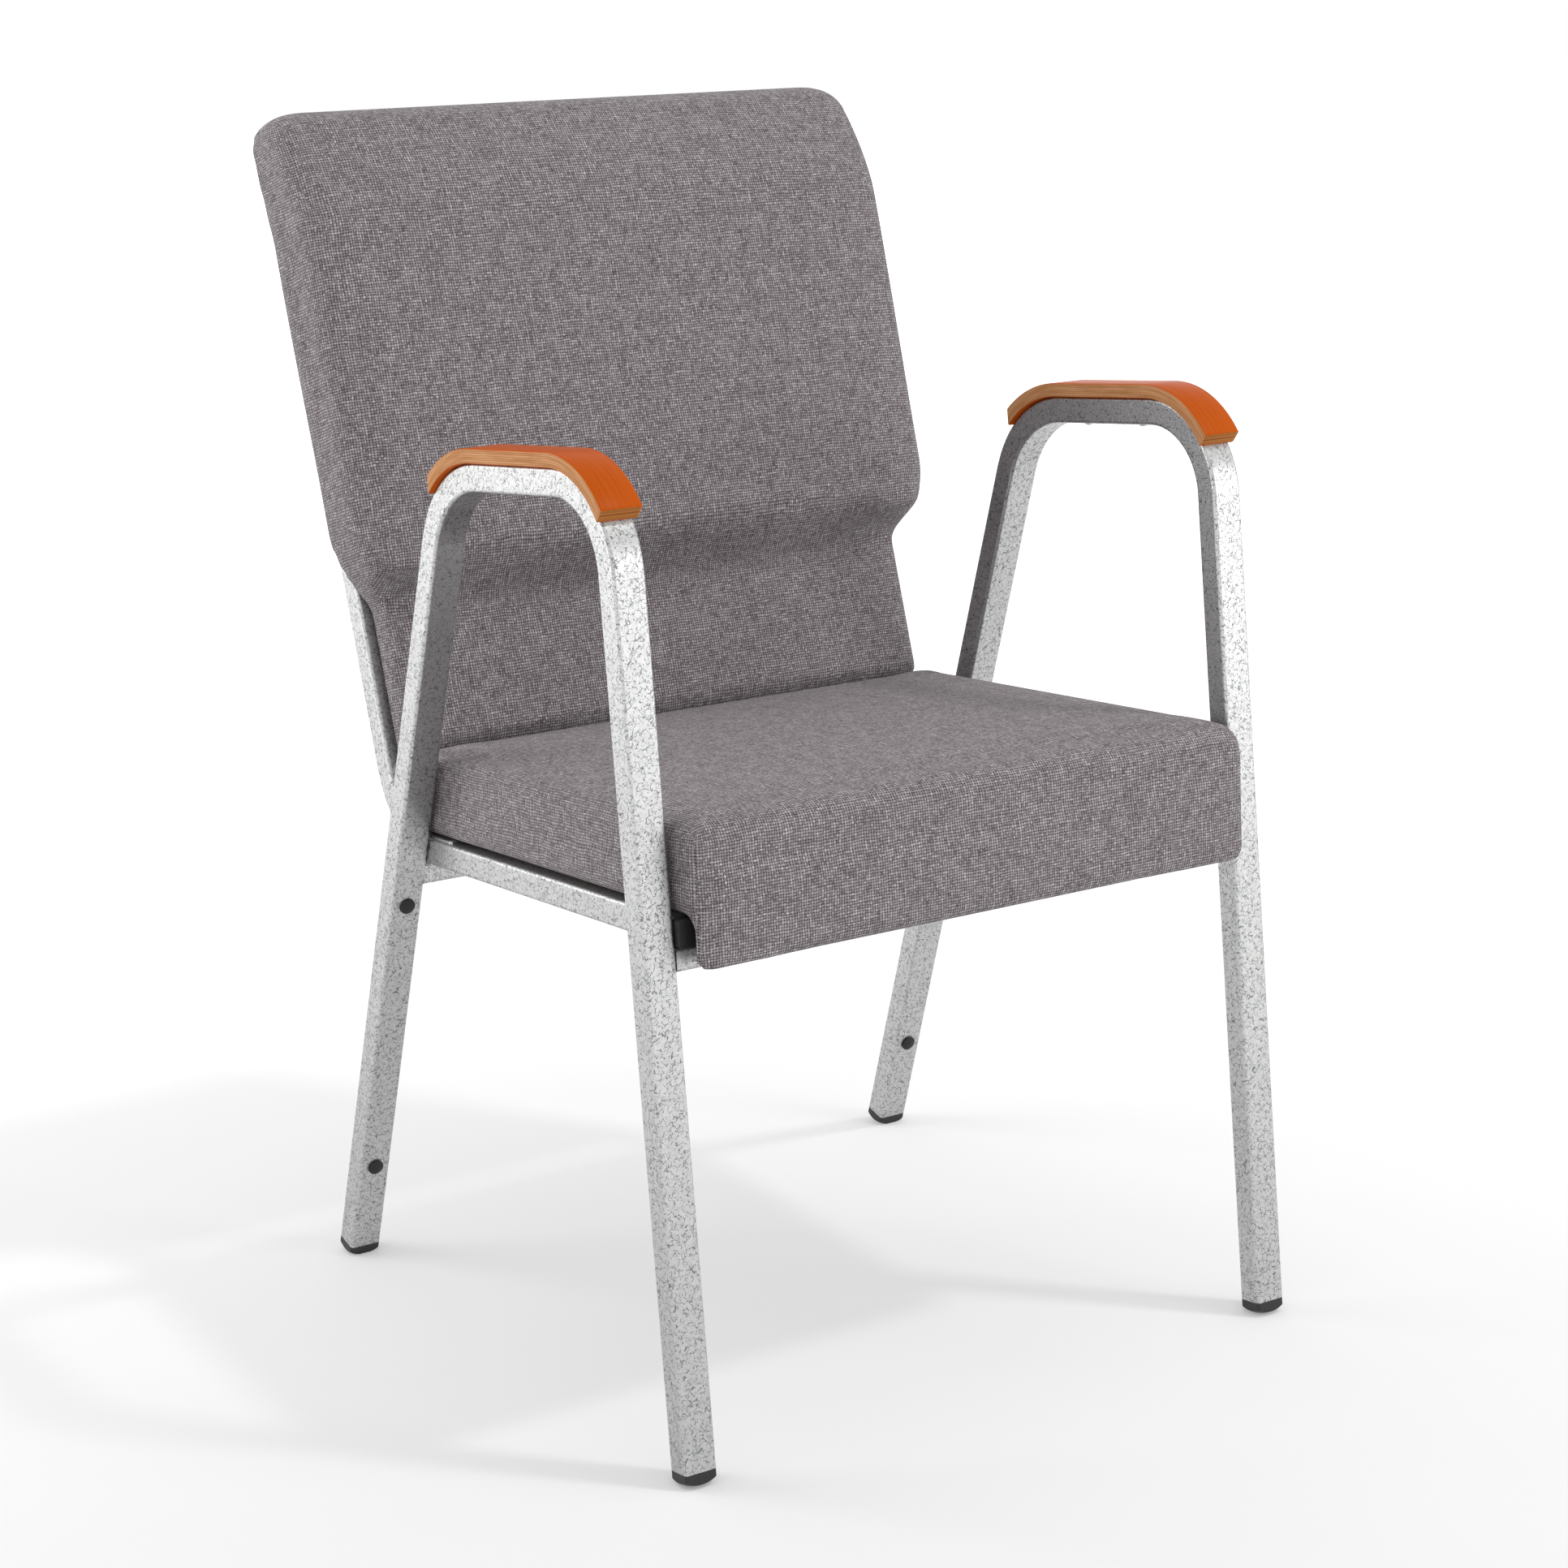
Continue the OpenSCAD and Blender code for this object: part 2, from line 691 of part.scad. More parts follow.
function back_ring(row) = [
    for (p = back_section(row[0], row[1], row[2]))
        let (
            ahead = ease(-(p[1] + board_t) / waist_t),
            across = max(0, 1 - pow(p[0] / half_width(row[0]), 2)),
            crown = back_crown * across * ahead * (1 - row[2] / back_top_r)
        )
        [p[0], p[1] - crown, back_start + row[0]]
];

// Middle of the pad's top edge, front to rear
back_top_y = (roll_rear + roll_front - back_pad_t + back_top_r / 2) / 2;

// Rows [height, side_in, face_in]: the rounded bottom edge, the levels, the rounded top edge
back_levels = concat(
    [for (i = [1 : 3]) back_bottom_r + (lumbar_low - back_bottom_r) * i / 3],
    [for (i = [1 : step_levels]) lumbar_low + (shoulder_high - lumbar_low) * i / step_levels],
    [for (i = [1 : 5]) shoulder_high + (roll_low - shoulder_high) * i / 5],
    [for (i = [1 : 4]) roll_low + (roll_len - back_corner_r) * i / 4]
);
back_rows = concat(
    [for (a = [0 : 30 : 60]) let (k = back_bottom_r * (1 - sin(a))) [back_bottom_r * (1 - cos(a)), k, k]],
    [for (h = back_levels) [h, 0, 0]],
    [for (a = [18 : 18 : 90])
        let (
            up = back_corner_r * pow(sin(a), back_corner_power),
            k = max(0, (up - back_corner_r + back_top_r) / back_top_r)
        )
        [
            back_h - back_corner_r + up,
            back_corner_r * (1 - pow(cos(a), back_corner_power)),
            back_top_r * (1 - sqrt(1 - k * k))
        ]]
);

// The origin is under the middle of the whole chair, front to rear: from the soles to the top of the back
dome_up = glide_dome_r - sole_cut - foot_h;
glide_rim = sqrt(pow(glide_dome_r, 2) - pow(tube_d / 2, 2)) - dome_up / cos(front_lean);
foot_front = front_foot_y - tube_d / 2 * cos(front_lean) - glide_rim * sin(front_lean);
back_rear = back_reach * cos(seat_pitch) + max([
    for (row = back_rows, p = back_ring(row)) p[2] * sin(back_lean) + (p[1] - tube_d / 2) * cos(back_lean)
]);
middle_y = (foot_front + back_rear) / 2;

module back_form() {
    skin(
        [for (row = back_rows) back_ring(row)],
        [[0, -waist_t / 2, back_start], [0, back_top_y, back_start + back_h]]
    );
}

// Outline of the flat pieces behind the pad, a margin inside its edge
module back_outline(margin) {
    bottom = back_board_bottom;
    top = back_board_top;
    translate([0, (top + shoulder_high) / 2])
        rounded_rect(back_w - 2 * margin, top - shoulder_high, back_corner_r - margin);
    translate([0, (top + bottom) / 2]) square([back_waist_w - 2 * margin, top - bottom], center = true);
}

module back_cushion() {
    color(grey_fabric) chair() at_back() difference() {
        back_form();
        translate([0, overrun, back_start]) rotate([90, 0, 0])
            linear_extrude(panel_t + board_t + pad_gap + overrun) back_outline(back_board_margin - pad_gap);
    }
}

module each_back_screw() {
    for (side = [LEFT, RIGHT], h = [back_screw_low, back_screw_high])
        translate([side * rail_x, 0, back_start + h]) rotate([90, 0, 0]) children();
}

module back_board() {
    color(bare_ply) chair() at_back() difference() {
        translate([0, -panel_t, back_start]) rotate([90, 0, 0]) linear_extrude(board_t)
            back_outline(back_board_margin);
        each_back_screw() translate([0, 0, panel_t + board_t]) tee_nut_seat(board_t);
    }
}

// Fabric-covered panel that closes the back of the pad
module back_panel() {
    color(grey_fabric) chair() at_back() difference() {
        translate([0, 0, back_start]) rotate([90, 0, 0]) linear_extrude(panel_t)
            back_outline(back_board_margin);
        each_back_screw() translate([0, 0, -overrun])
            cylinder(h = panel_t + 2 * overrun, r = screw_r + hole_gap);
    }
}

module back_tee_nuts() {
    color(zinc) chair() at_back() each_back_screw() translate([0, 0, panel_t + board_t]) tee_nut();
}

module back_screws() {
    color(zinc) chair() at_back() each_back_screw() translate([0, 0, -tube_d])
        pan_screw(screw_r, screw_head_r, screw_head_t, tube_d + panel_t + board_t - screw_end_gap);
}

// Arm caps: bent plywood along the arm and part of both bends, screwed on from below

module cap_end(bevel) {
    cut = 3 * cap_t;
    translate([-cap_w, -tube_d / 2 - cap_t / 2, 0]) rotate([-bevel, 0, 0])
        translate([0, -cut, -cut]) cube([2 * cap_w, 2 * cut, cut]);
}

module cap_section(thinning = 0) {
    translate([0, -tube_d / 2 - cap_t / 2]) rounded_rect(cap_w - 2 * thinning, cap_t - 2 * thinning, cap_edge_r);
}

module arm_cap(side) {
    color(cherry) chair() difference() {
        at_front_foot(side) translate([0, 0, front_run])
            past_bend(front_turn - cap_front_arc - cap_spare_arc, front_bend_r)
                follow([
                    [0, cap_front_arc + cap_spare_arc, front_bend_r],
                    [arm_run, cap_rear_arc + cap_spare_arc, rear_bend_r]
                ]) {
                    cap_section();
                    cap_section(bend_thinning);
                }
        at_front_foot(side) translate([0, 0, front_run])
            past_bend(front_turn - cap_front_arc, front_bend_r) cap_end(cap_front_bevel);
        at_arm(side) translate([0, 0, arm_run]) past_bend(cap_rear_arc, rear_bend_r)
            mirror([0, 0, 1]) cap_end(cap_rear_bevel);
        for (share = cap_screw_share) at_arm(side) translate([0, 0, share * arm_run]) rotate([90, 0, 0])
            cylinder(h = tube_d / 2 + cap_screw_bite + hole_gap, r = cap_screw_r + hole_gap);
    }
}

module arm_cap_screws() {
    color(zinc) chair() for (side = [LEFT, RIGHT], share = cap_screw_share)
        at_arm(side) translate([0, tube_d / 2, share * arm_run]) rotate([90, 0, 0])
            pan_screw(cap_screw_r, cap_screw_head_r, cap_screw_head_t, tube_d + cap_screw_bite);
}

side_frame(LEFT);  // left_side_frame
side_frame(RIGHT);  // right_side_frame
seat_back_tube(LEFT);  // left_seat_back_tube
seat_back_tube(RIGHT);  // right_seat_back_tube
cross_tube(front_cross_y);  // front_cross_tube
cross_tube(rear_cross_y);  // rear_cross_tube
seat_brackets();
rail_cap(LEFT);  // left_rail_cap
rail_cap(RIGHT);  // right_rail_cap
upright_plug(LEFT);  // left_upright_plug
upright_plug(RIGHT);  // right_upright_plug
seat_board();
seat_cushion();
seat_dust_cover();
seat_screws();
seat_tee_nuts();
back_board();
back_cushion();
back_panel();
back_screws();
back_tee_nuts();
arm_cap(LEFT);  // left_arm_cap
arm_cap(RIGHT);  // right_arm_cap
arm_cap_screws();
front_glide(LEFT);  // front_left_glide
front_glide(RIGHT);  // front_right_glide
rear_glide(LEFT);  // rear_left_glide
rear_glide(RIGHT);  // rear_right_glide
stack_stops(LEFT);  // left_stack_stops
stack_stops(RIGHT);  // right_stack_stops
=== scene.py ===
"""A stacking church chair with arms: silver-vein steel frame, woven pads and bent plywood arm caps.

Metres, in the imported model's frame: +Z up, +X to the right seen from the front, +Y to the rear, and the floor
at z = 0.
"""
from math import cos, pi, radians, sin, tan

import bmesh
import bpy
import numpy as np
from mathutils import Matrix, Vector


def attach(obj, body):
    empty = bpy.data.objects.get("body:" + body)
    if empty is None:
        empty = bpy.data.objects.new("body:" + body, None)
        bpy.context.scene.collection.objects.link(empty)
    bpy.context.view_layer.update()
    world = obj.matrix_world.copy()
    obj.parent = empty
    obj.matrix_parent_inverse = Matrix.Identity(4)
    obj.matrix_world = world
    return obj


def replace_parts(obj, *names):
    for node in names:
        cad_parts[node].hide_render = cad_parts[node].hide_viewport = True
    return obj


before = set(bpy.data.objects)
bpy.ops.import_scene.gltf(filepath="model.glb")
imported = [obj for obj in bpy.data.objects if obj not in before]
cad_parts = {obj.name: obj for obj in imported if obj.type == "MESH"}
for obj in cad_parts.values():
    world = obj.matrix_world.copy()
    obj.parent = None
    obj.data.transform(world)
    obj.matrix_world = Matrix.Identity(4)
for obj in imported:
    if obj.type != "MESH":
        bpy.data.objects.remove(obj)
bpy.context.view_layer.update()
scene = bpy.context.scene
scene.view_settings.view_transform = "Standard"

# Camera
# A long lens to the chair's left front, as far off as the photograph's perspective asks for. It is about 0.2 m
# over the back's top edge and looks slightly down.
look_down, look_right = 15.373, 34.116
lens = bpy.data.cameras.new("camera")
lens.sensor_width = 36.0
lens.lens = 81.18
camera = bpy.data.objects.new("camera", lens)
camera.location = (-1.42238, -2.12887, 1.08584)
camera.rotation_euler = (radians(90 - look_down), 0.0, radians(-look_right))
scene.collection.objects.link(camera)
scene.camera = camera


# Studio
# A pale floor under an even white sky. A far lamp high on the right front casts the soft shadows, the front
# legs mirror a low wide softbox, and a fill lights the rear left.
def add(tree, kind, inputs=(), **settings):
    """A new node. Inputs are given by name or number, as a value or as another node's output."""
    node = tree.nodes.new(kind)
    for name, value in settings.items():
        setattr(node, name, value)
    for key, value in dict(inputs).items():
        if isinstance(value, bpy.types.NodeSocket):
            tree.links.new(value, node.inputs[key])
        else:
            node.inputs[key].default_value = value
    return node


def calc(tree, operation, a, b=0.0, c=0.0):
    """The result of one Math node."""
    return add(tree, "ShaderNodeMath", {0: a, 1: b, 2: c}, operation=operation).outputs[0]


def seen_directly(tree):
    """1 for rays from the camera and for those that gloss or glass sends on, and 0 for others."""
    path = add(tree, "ShaderNodeLightPath").outputs
    mirrored = calc(tree, "MAXIMUM", path["Is Glossy Ray"], path["Is Transmission Ray"])
    return calc(tree, "MAXIMUM", path["Is Camera Ray"], mirrored)


# The sky and the floor are seen brighter than they light the chair
white = (1, 1, 1, 1)
sky = bpy.data.worlds.new("studio sky")
sky.use_nodes = True
tree = sky.node_tree
tree.nodes.clear()
lit_sky = add(tree, "ShaderNodeBackground", {"Color": white, "Strength": 0.78})
seen_sky = add(tree, "ShaderNodeBackground", {"Color": white, "Strength": 1.0})
either = add(tree, "ShaderNodeMixShader", {
    0: seen_directly(tree), 1: lit_sky.outputs[0], 2: seen_sky.outputs[0]})
add(tree, "ShaderNodeOutputWorld", {"Surface": either.outputs[0]})
scene.world = sky

# The floor's glow grows towards the right rear from a least value, and with the distance from the chair
glow_growth, middle_glow, least_glow = (0.080, 0.100, 0.0), 0.248, 0.18
far_growth, far_start = 0.25, -0.10
floor_half = 9
floor_paint = bpy.data.materials.new("pale floor")
floor_paint.use_nodes = True
tree = floor_paint.node_tree
tree.nodes.clear()
matt = add(tree, "ShaderNodeBsdfDiffuse", {"Color": (0.72, 0.72, 0.72, 1)})
spot = add(tree, "ShaderNodeTexCoord").outputs["Object"]
away = add(tree, "ShaderNodeVectorMath", {0: spot, 1: glow_growth}, operation="DOT_PRODUCT").outputs["Value"]
out_there = add(tree, "ShaderNodeVectorMath", {0: spot}, operation="LENGTH").outputs["Value"]
glow = calc(tree, "MAXIMUM", calc(tree, "ADD", away, middle_glow), least_glow)
glow = calc(tree, "MAXIMUM", glow, calc(tree, "MULTIPLY_ADD", out_there, far_growth, far_start))
lift = add(tree, "ShaderNodeEmission", {
    "Color": white, "Strength": calc(tree, "MULTIPLY", seen_directly(tree), glow)})
both = add(tree, "ShaderNodeAddShader", {0: matt.outputs[0], 1: lift.outputs[0]})
add(tree, "ShaderNodeOutputMaterial", {"Surface": both.outputs[0]})
floor_mesh = bpy.data.meshes.new("floor")
floor_mesh.from_pydata([(floor_half * x, floor_half * y, 0) for x, y in ((-1, -1), (1, -1), (1, 1), (-1, 1))],
                       [], [(0, 1, 2, 3)])
floor_mesh.materials.append(floor_paint)
floor = bpy.data.objects.new("floor", floor_mesh)
scene.collection.objects.link(floor)

chair_middle = Vector((0, 0, 0.4))


def aim(lamp, direction, distance):
    """Puts a lamp that far from the middle of the chair in that direction, looking back at it."""
    holder = bpy.data.objects.new(lamp.name, lamp)
    towards = Vector(direction).normalized()
    holder.location = chair_middle + towards * distance
    holder.rotation_euler = towards.to_track_quat("Z", "Y").to_euler()
    scene.collection.objects.link(holder)


def rectangle_lamp(name, width, height, watts):
    """A soft lamp of that size and power."""
    lamp = bpy.data.lights.new(name, "AREA")
    lamp.shape = "RECTANGLE"
    lamp.size, lamp.size_y = width, height
    lamp.energy = watts
    return lamp


far_lamp = bpy.data.lights.new("far lamp", "SUN")
far_lamp.energy = 0.48
far_lamp.angle = radians(5)
aim(far_lamp, (0.466, -0.362, 1.0), 4.5)
aim(rectangle_lamp("low softbox", 1.1, 0.6, 14.0), (0.62, -0.78, 0.26), 2.8)
aim(rectangle_lamp("left fill", 1.6, 1.4, 27.0), (-0.80, 0.60, 0.30), 3.0)


# Steel frame
# Bent 25 x 20 mm tube with 1.5 mm walls and welded joints. Its silver-vein powder coat is light grey and half
# gloss, with fine dark crackles a few millimetres long, which lie a little deeper than the rest of the coat.
def new_material(name, **values):
    """A material with one Principled shader. Returns it, its node tree and the shader."""
    material = bpy.data.materials.new(name)
    material.use_nodes = True
    tree = material.node_tree
    tree.nodes.clear()
    surface = add(tree, "ShaderNodeBsdfPrincipled")
    for key, value in values.items():
        surface.inputs[key.replace("_", " ")].default_value = value
    add(tree, "ShaderNodeOutputMaterial", {"Surface": surface.outputs[0]})
    return material, tree, surface


def place_on(tree):
    """The place on the piece, in metres."""
    return add(tree, "ShaderNodeTexCoord").outputs["Object"]


def mottle(tree, where, scale, detail, roughness=0.5, flat=False):
    """The outputs of a noise texture with scale spots to the metre: first its value, then its colour."""
    return add(tree, "ShaderNodeTexNoise", {
        "Vector": where, "Scale": scale, "Detail": detail, "Roughness": roughness},
        noise_dimensions="2D" if flat else "3D").outputs


def nudged(tree, where, colour, far):
    """A place moved this way and that by a mottle's colour, by up to half of far."""
    way = add(tree, "ShaderNodeVectorMath", {0: colour, 1: (0.5, 0.5, 0.5)}, operation="SUBTRACT").outputs[0]
    step = add(tree, "ShaderNodeVectorMath", {0: way, "Scale": far}, operation="SCALE").outputs[0]
    return add(tree, "ShaderNodeVectorMath", {0: where, 1: step}, operation="ADD").outputs[0]


def spread(tree, value, low, high, to_low=0.0, to_high=1.0):
    """Value moved smoothly from the range low to high into another range."""
    return add(tree, "ShaderNodeMapRange", {
        "Value": value, "From Min": low, "From Max": high, "To Min": to_low, "To Max": to_high},
        interpolation_type="SMOOTHSTEP").outputs[0]


def blend_colours(tree, share, a, b):
    """Colour a where share is 0 and colour b where it is 1."""
    return add(tree, "ShaderNodeMix", {0: share, 6: a, 7: b}, data_type="RGBA").outputs[2]


def relieve(tree, surface, height, strength, distance):
    """Gives a surface relief, by bump, that is distance deep between height 0 and height 1."""
    relief = add(tree, "ShaderNodeBump", {"Strength": strength, "Distance": distance, "Height": height})
    tree.links.new(relief.outputs[0], surface.inputs["Normal"])


def crackles(tree, where, size, width, kept, seed):
    """1 on broken lines round cells of a size, in metres, and 0 between them."""
    cells = add(tree, "ShaderNodeTexVoronoi", {"Vector": where, "Scale": 1 / size},
                feature="DISTANCE_TO_EDGE")
    line = spread(tree, cells.outputs["Distance"], 0.0, width / size, 1.0, 0.0)
    patches = add(tree, "ShaderNodeTexNoise", {
        "Vector": where, "Scale": 1.3 / size, "Detail": 1.0, "W": seed}, noise_dimensions="4D")
    return calc(tree, "MULTIPLY", line, spread(tree, patches.outputs[0], kept, kept + 0.06))


silver_vein, tree, coat = new_material("silver vein powder coat", Metallic=1.0)
place = place_on(tree)
along = nudged(tree, place, mottle(tree, place, 330.0, 1.5)["Color"], 0.0030)
veins = calc(tree, "MAXIMUM", crackles(tree, along, 0.0042, 0.00034, 0.47, 2.0),
             crackles(tree, along, 0.0029, 0.00026, 0.52, 7.0))
cloud = mottle(tree, place, 260.0, 3.0)[0]
light = blend_colours(tree, spread(tree, cloud, 0.3, 0.7),
                      (0.50, 0.505, 0.50, 1), (0.57, 0.575, 0.57, 1))
tree.links.new(blend_colours(tree, veins, light, (0.15, 0.153, 0.157, 1)), coat.inputs["Base Color"])
tree.links.new(spread(tree, veins, 0.0, 1.0, 0.36, 0.42), coat.inputs["Roughness"])
peel = calc(tree, "MULTIPLY", mottle(tree, place, 420.0, 1.0)[0], 0.20)
relieve(tree, coat, calc(tree, "MULTIPLY_ADD", veins, -1.0, peel), 0.5, 0.00012)


def finish(material, *names):
    """Gives carried-over pieces of the frame their finish."""
    for name in names:
        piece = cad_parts[name]
        piece.data.materials.clear()
        piece.data.materials.append(material)


finish(silver_vein, "left_side_frame", "right_side_frame", "left_seat_back_tube", "right_seat_back_tube",
       "front_cross_tube", "rear_cross_tube", "seat_brackets")

# Plastic ends and rubber stops
# Moulded black nylon caps, plugs and glides are pressed into the tube ends. The rubber buttons snap into
# holes in the rear legs and keep stacked chairs apart.
nylon, tree, surface = new_material("black nylon", Base_Color=(0.013, 0.013, 0.014, 1), IOR=1.5)
grain = mottle(tree, place_on(tree), 2600.0, 2.0)[0]
tree.links.new(spread(tree, grain, 0.3, 0.7, 0.38, 0.52), surface.inputs["Roughness"])
relieve(tree, surface, grain, 0.35, 0.00004)
finish(nylon, "left_rail_cap", "right_rail_cap", "left_upright_plug", "right_upright_plug",
       "front_left_glide", "front_right_glide", "rear_left_glide", "rear_right_glide")

rubber, tree, surface = new_material("black rubber", IOR=1.45)
bloom = mottle(tree, place_on(tree), 900.0, 3.0)[0]
tree.links.new(blend_colours(tree, bloom, (0.010, 0.010, 0.010, 1), (0.022, 0.022, 0.022, 1)),
               surface.inputs["Base Color"])
tree.links.new(spread(tree, bloom, 0.3, 0.7, 0.55, 0.75), surface.inputs["Roughness"])
finish(rubber, "left_stack_stops", "right_stack_stops")

# Boards and fasteners
# Birch plywood boards carry the foam. Zinc-plated machine screws go through brackets and tubes into tee nuts
# in the boards, and a thin black cloth closes the underside of the seat.
birch, tree, surface = new_material("birch plywood", Roughness=0.6)
stretched = add(tree, "ShaderNodeMapping", {
    "Vector": place_on(tree), "Scale": (8.0, 120.0, 120.0)}).outputs[0]
figure = mottle(tree, stretched, 1.5, 5.0, roughness=0.6)[0]
tree.links.new(blend_colours(tree, figure, (0.42, 0.25, 0.11, 1), (0.66, 0.46, 0.25, 1)),
               surface.inputs["Base Color"])
relieve(tree, surface, figure, 0.3, 0.0001)
finish(birch, "seat_board", "back_board")

zinc, tree, surface = new_material("zinc plate", Metallic=1.0)
spangle = mottle(tree, place_on(tree), 700.0, 3.0)[0]
tree.links.new(blend_colours(tree, spangle, (0.42, 0.43, 0.46, 1), (0.66, 0.66, 0.64, 1)),
               surface.inputs["Base Color"])
tree.links.new(spread(tree, spangle, 0.3, 0.7, 0.24, 0.42), surface.inputs["Roughness"])
finish(zinc, "seat_screws", "seat_tee_nuts", "back_screws", "back_tee_nuts", "arm_cap_screws")

dust_cloth, tree, surface = new_material("black dust cloth", Roughness=0.95)
fibres = mottle(tree, place_on(tree), 1500.0, 3.0)[0]
tree.links.new(blend_colours(tree, fibres, (0.006, 0.006, 0.007, 1), (0.020, 0.020, 0.022, 1)),
               surface.inputs["Base Color"])
relieve(tree, surface, fibres, 0.6, 0.0001)
finish(dust_cloth, "seat_dust_cover")


# Woven cover
# An open plain weave of thick grey-mauve yarns, about 2 mm apart. Each changes tone along its length, from near
# white to brown-grey, and painted shade darkens the yarns where they dip and the small gaps between them. It
# reads the cloth's own UV map, which is in metres.
yarn_pitch, yarn_wander, cloth_drift = 0.00205, 0.0011, 0.0026
woven, tree, surface = new_material("grey mauve plain weave", Roughness=0.9, Specular_IOR_Level=0.2,
                                    Sheen_Weight=0.08, Sheen_Roughness=0.5)
cloth_map = add(tree, "ShaderNodeUVMap", uv_map="weave").outputs[0]
laid = nudged(tree, cloth_map, mottle(tree, cloth_map, 38.0, 3.0, flat=True)["Color"], cloth_drift)
laid_across, laid_along, _ = add(tree, "ShaderNodeSeparateXYZ", {0: laid}).outputs


def uneven(stretch, place):
    """Count of yarns across the cloth, some closer together and some further apart."""
    pulled = add(tree, "ShaderNodeMapping", {"Vector": laid, "Scale": stretch}).outputs[0]
    wander = calc(tree, "SUBTRACT", mottle(tree, pulled, 1.0, 1.0, flat=True)[0], 0.5)
    return calc(tree, "DIVIDE", calc(tree, "MULTIPLY_ADD", wander, yarn_wander, place), yarn_pitch)


def yarn(count, run, seed):
    """One set of yarns, counted across by count and followed by run: the height of its surface, as it goes
    over and under the other set, and its tone, which changes every few crossings."""
    number = calc(tree, "FLOOR", count)
    across_it = calc(tree, "ABSOLUTE", calc(tree, "SINE", calc(tree, "MULTIPLY", count, pi)))
    round_part = calc(tree, "POWER", across_it, 0.7)
    wave = calc(tree, "SINE", calc(tree, "MULTIPLY", calc(tree, "ADD", run, number), pi))
    surface_at = calc(tree, "MULTIPLY", round_part, calc(tree, "MULTIPLY_ADD", wave, 0.32, 0.68))
    along_it = add(tree, "ShaderNodeCombineXYZ", {
        0: calc(tree, "MULTIPLY", number, 7.31), 1: calc(tree, "MULTIPLY", run, 0.30), 2: seed}).outputs[0]
    return surface_at, mottle(tree, along_it, 1.0, 3.0, roughness=0.7)[0]


warp = uneven((190.0, 28.0, 1.0), laid_across)
weft = uneven((28.0, 190.0, 1.0), laid_along)
warp_top, warp_tone = yarn(warp, weft, 3.7)
weft_top, weft_tone = yarn(weft, calc(tree, "ADD", warp, 1.0), 41.2)
warp_over = spread(tree, calc(tree, "SUBTRACT", warp_top, weft_top), -0.10, 0.10)
top = calc(tree, "MAXIMUM", warp_top, weft_top)
tone = add(tree, "ShaderNodeMix", {0: warp_over, 2: weft_tone, 3: warp_tone}, data_type="FLOAT").outputs[0]
fuzz = mottle(tree, cloth_map, 1500.0, 3.0, flat=True)[0]
patch = mottle(tree, cloth_map, 70.0, 3.0, flat=True)[0]
for part, share in ((fuzz, 0.45), (patch, 0.10)):
    tone = calc(tree, "ADD", tone, calc(tree, "MULTIPLY_ADD", part, share, -share / 2))
shade = add(tree, "ShaderNodeValToRGB", {0: tone})
tones = shade.color_ramp.elements
tones[0].position, tones[0].color = 0.28, (0.130, 0.104, 0.112, 1)
tones[1].position, tones[1].color = 0.74, (0.610, 0.580, 0.605, 1)
tones.new(0.50).color = (0.325, 0.292, 0.308, 1)
# Painted shade: the colour darkens where the yarns' surface is low, down their sides and into the gaps between
# them
painted_gap_shade = spread(tree, top, 0.30, 0.85)
tree.links.new(blend_colours(tree, painted_gap_shade, (0.040, 0.029, 0.032, 1), shade.outputs[0]),
               surface.inputs["Base Color"])
relieve(tree, surface, calc(tree, "MULTIPLY_ADD", fuzz, 0.25, top), 0.6, 0.00030)

# Seat pad
# Polyurethane foam on the seat board, with a thin skirt in front that hides the rails' ends. The cover is one
# cloth, pulled over the edges, folded at the front corners and stapled under the board.
middle_y = 0.053628
seat_pitch, rail_h = radians(4.5), 0.3597
in_seat = Matrix.Translation((0, -middle_y, rail_h)) @ Matrix.Rotation(-seat_pitch, 4, "X")
seat_half, seat_front, seat_rear = 0.237, -0.226, 0.157
board_level, seat_top_front, seat_top_rear = 0.012, 0.076, 0.072
skirt_level, skirt_back, skirt_t = -0.0255, -0.217, 0.009
seat_side_r, seat_front_r, seat_rear_r = 0.012, 0.018, 0.011
seat_crown, seat_draw = 0.007, 0.0015
hem_x, hem_front, hem_rear, hem_t = 0.230, -0.203, 0.150, 0.0007
recess_x, recess_front, recess_rear, recess_depth = 0.214, -0.190, 0.138, 0.0132
voxel, foam_pressure, cloth_steps = 0.0045, 4.0, 20
most_proud, most_sunk = 0.003, 0.0004


def ease(k):
    """Smooth rise from 0 to 1."""
    k = np.clip(k, 0.0, 1.0)
    return k * k * (3 - 2 * k)


def rounded(corners):
    """A closed outline through corners (u, v, radius, steps), as points."""
    points = []
    for i, (u, v, r, steps) in enumerate(corners):
        here = Vector((u, v))
        if r == 0:
            points.append(here)
            continue
        a = (Vector(corners[i - 1][:2]) - here).normalized()
        b = (Vector(corners[(i + 1) % len(corners)][:2]) - here).normalized()
        half = a.angle(b) / 2
        centre = here + (a + b).normalized() * r / sin(half)
        start, end = here + a * r / tan(half) - centre, here + b * r / tan(half) - centre
        sweep = pi - 2 * half
        for k in np.linspace(0, 1, steps + 1):
            points.append(centre + (start * sin((1 - k) * sweep) + end * sin(k * sweep)) / sin(sweep))
    return np.array(points)


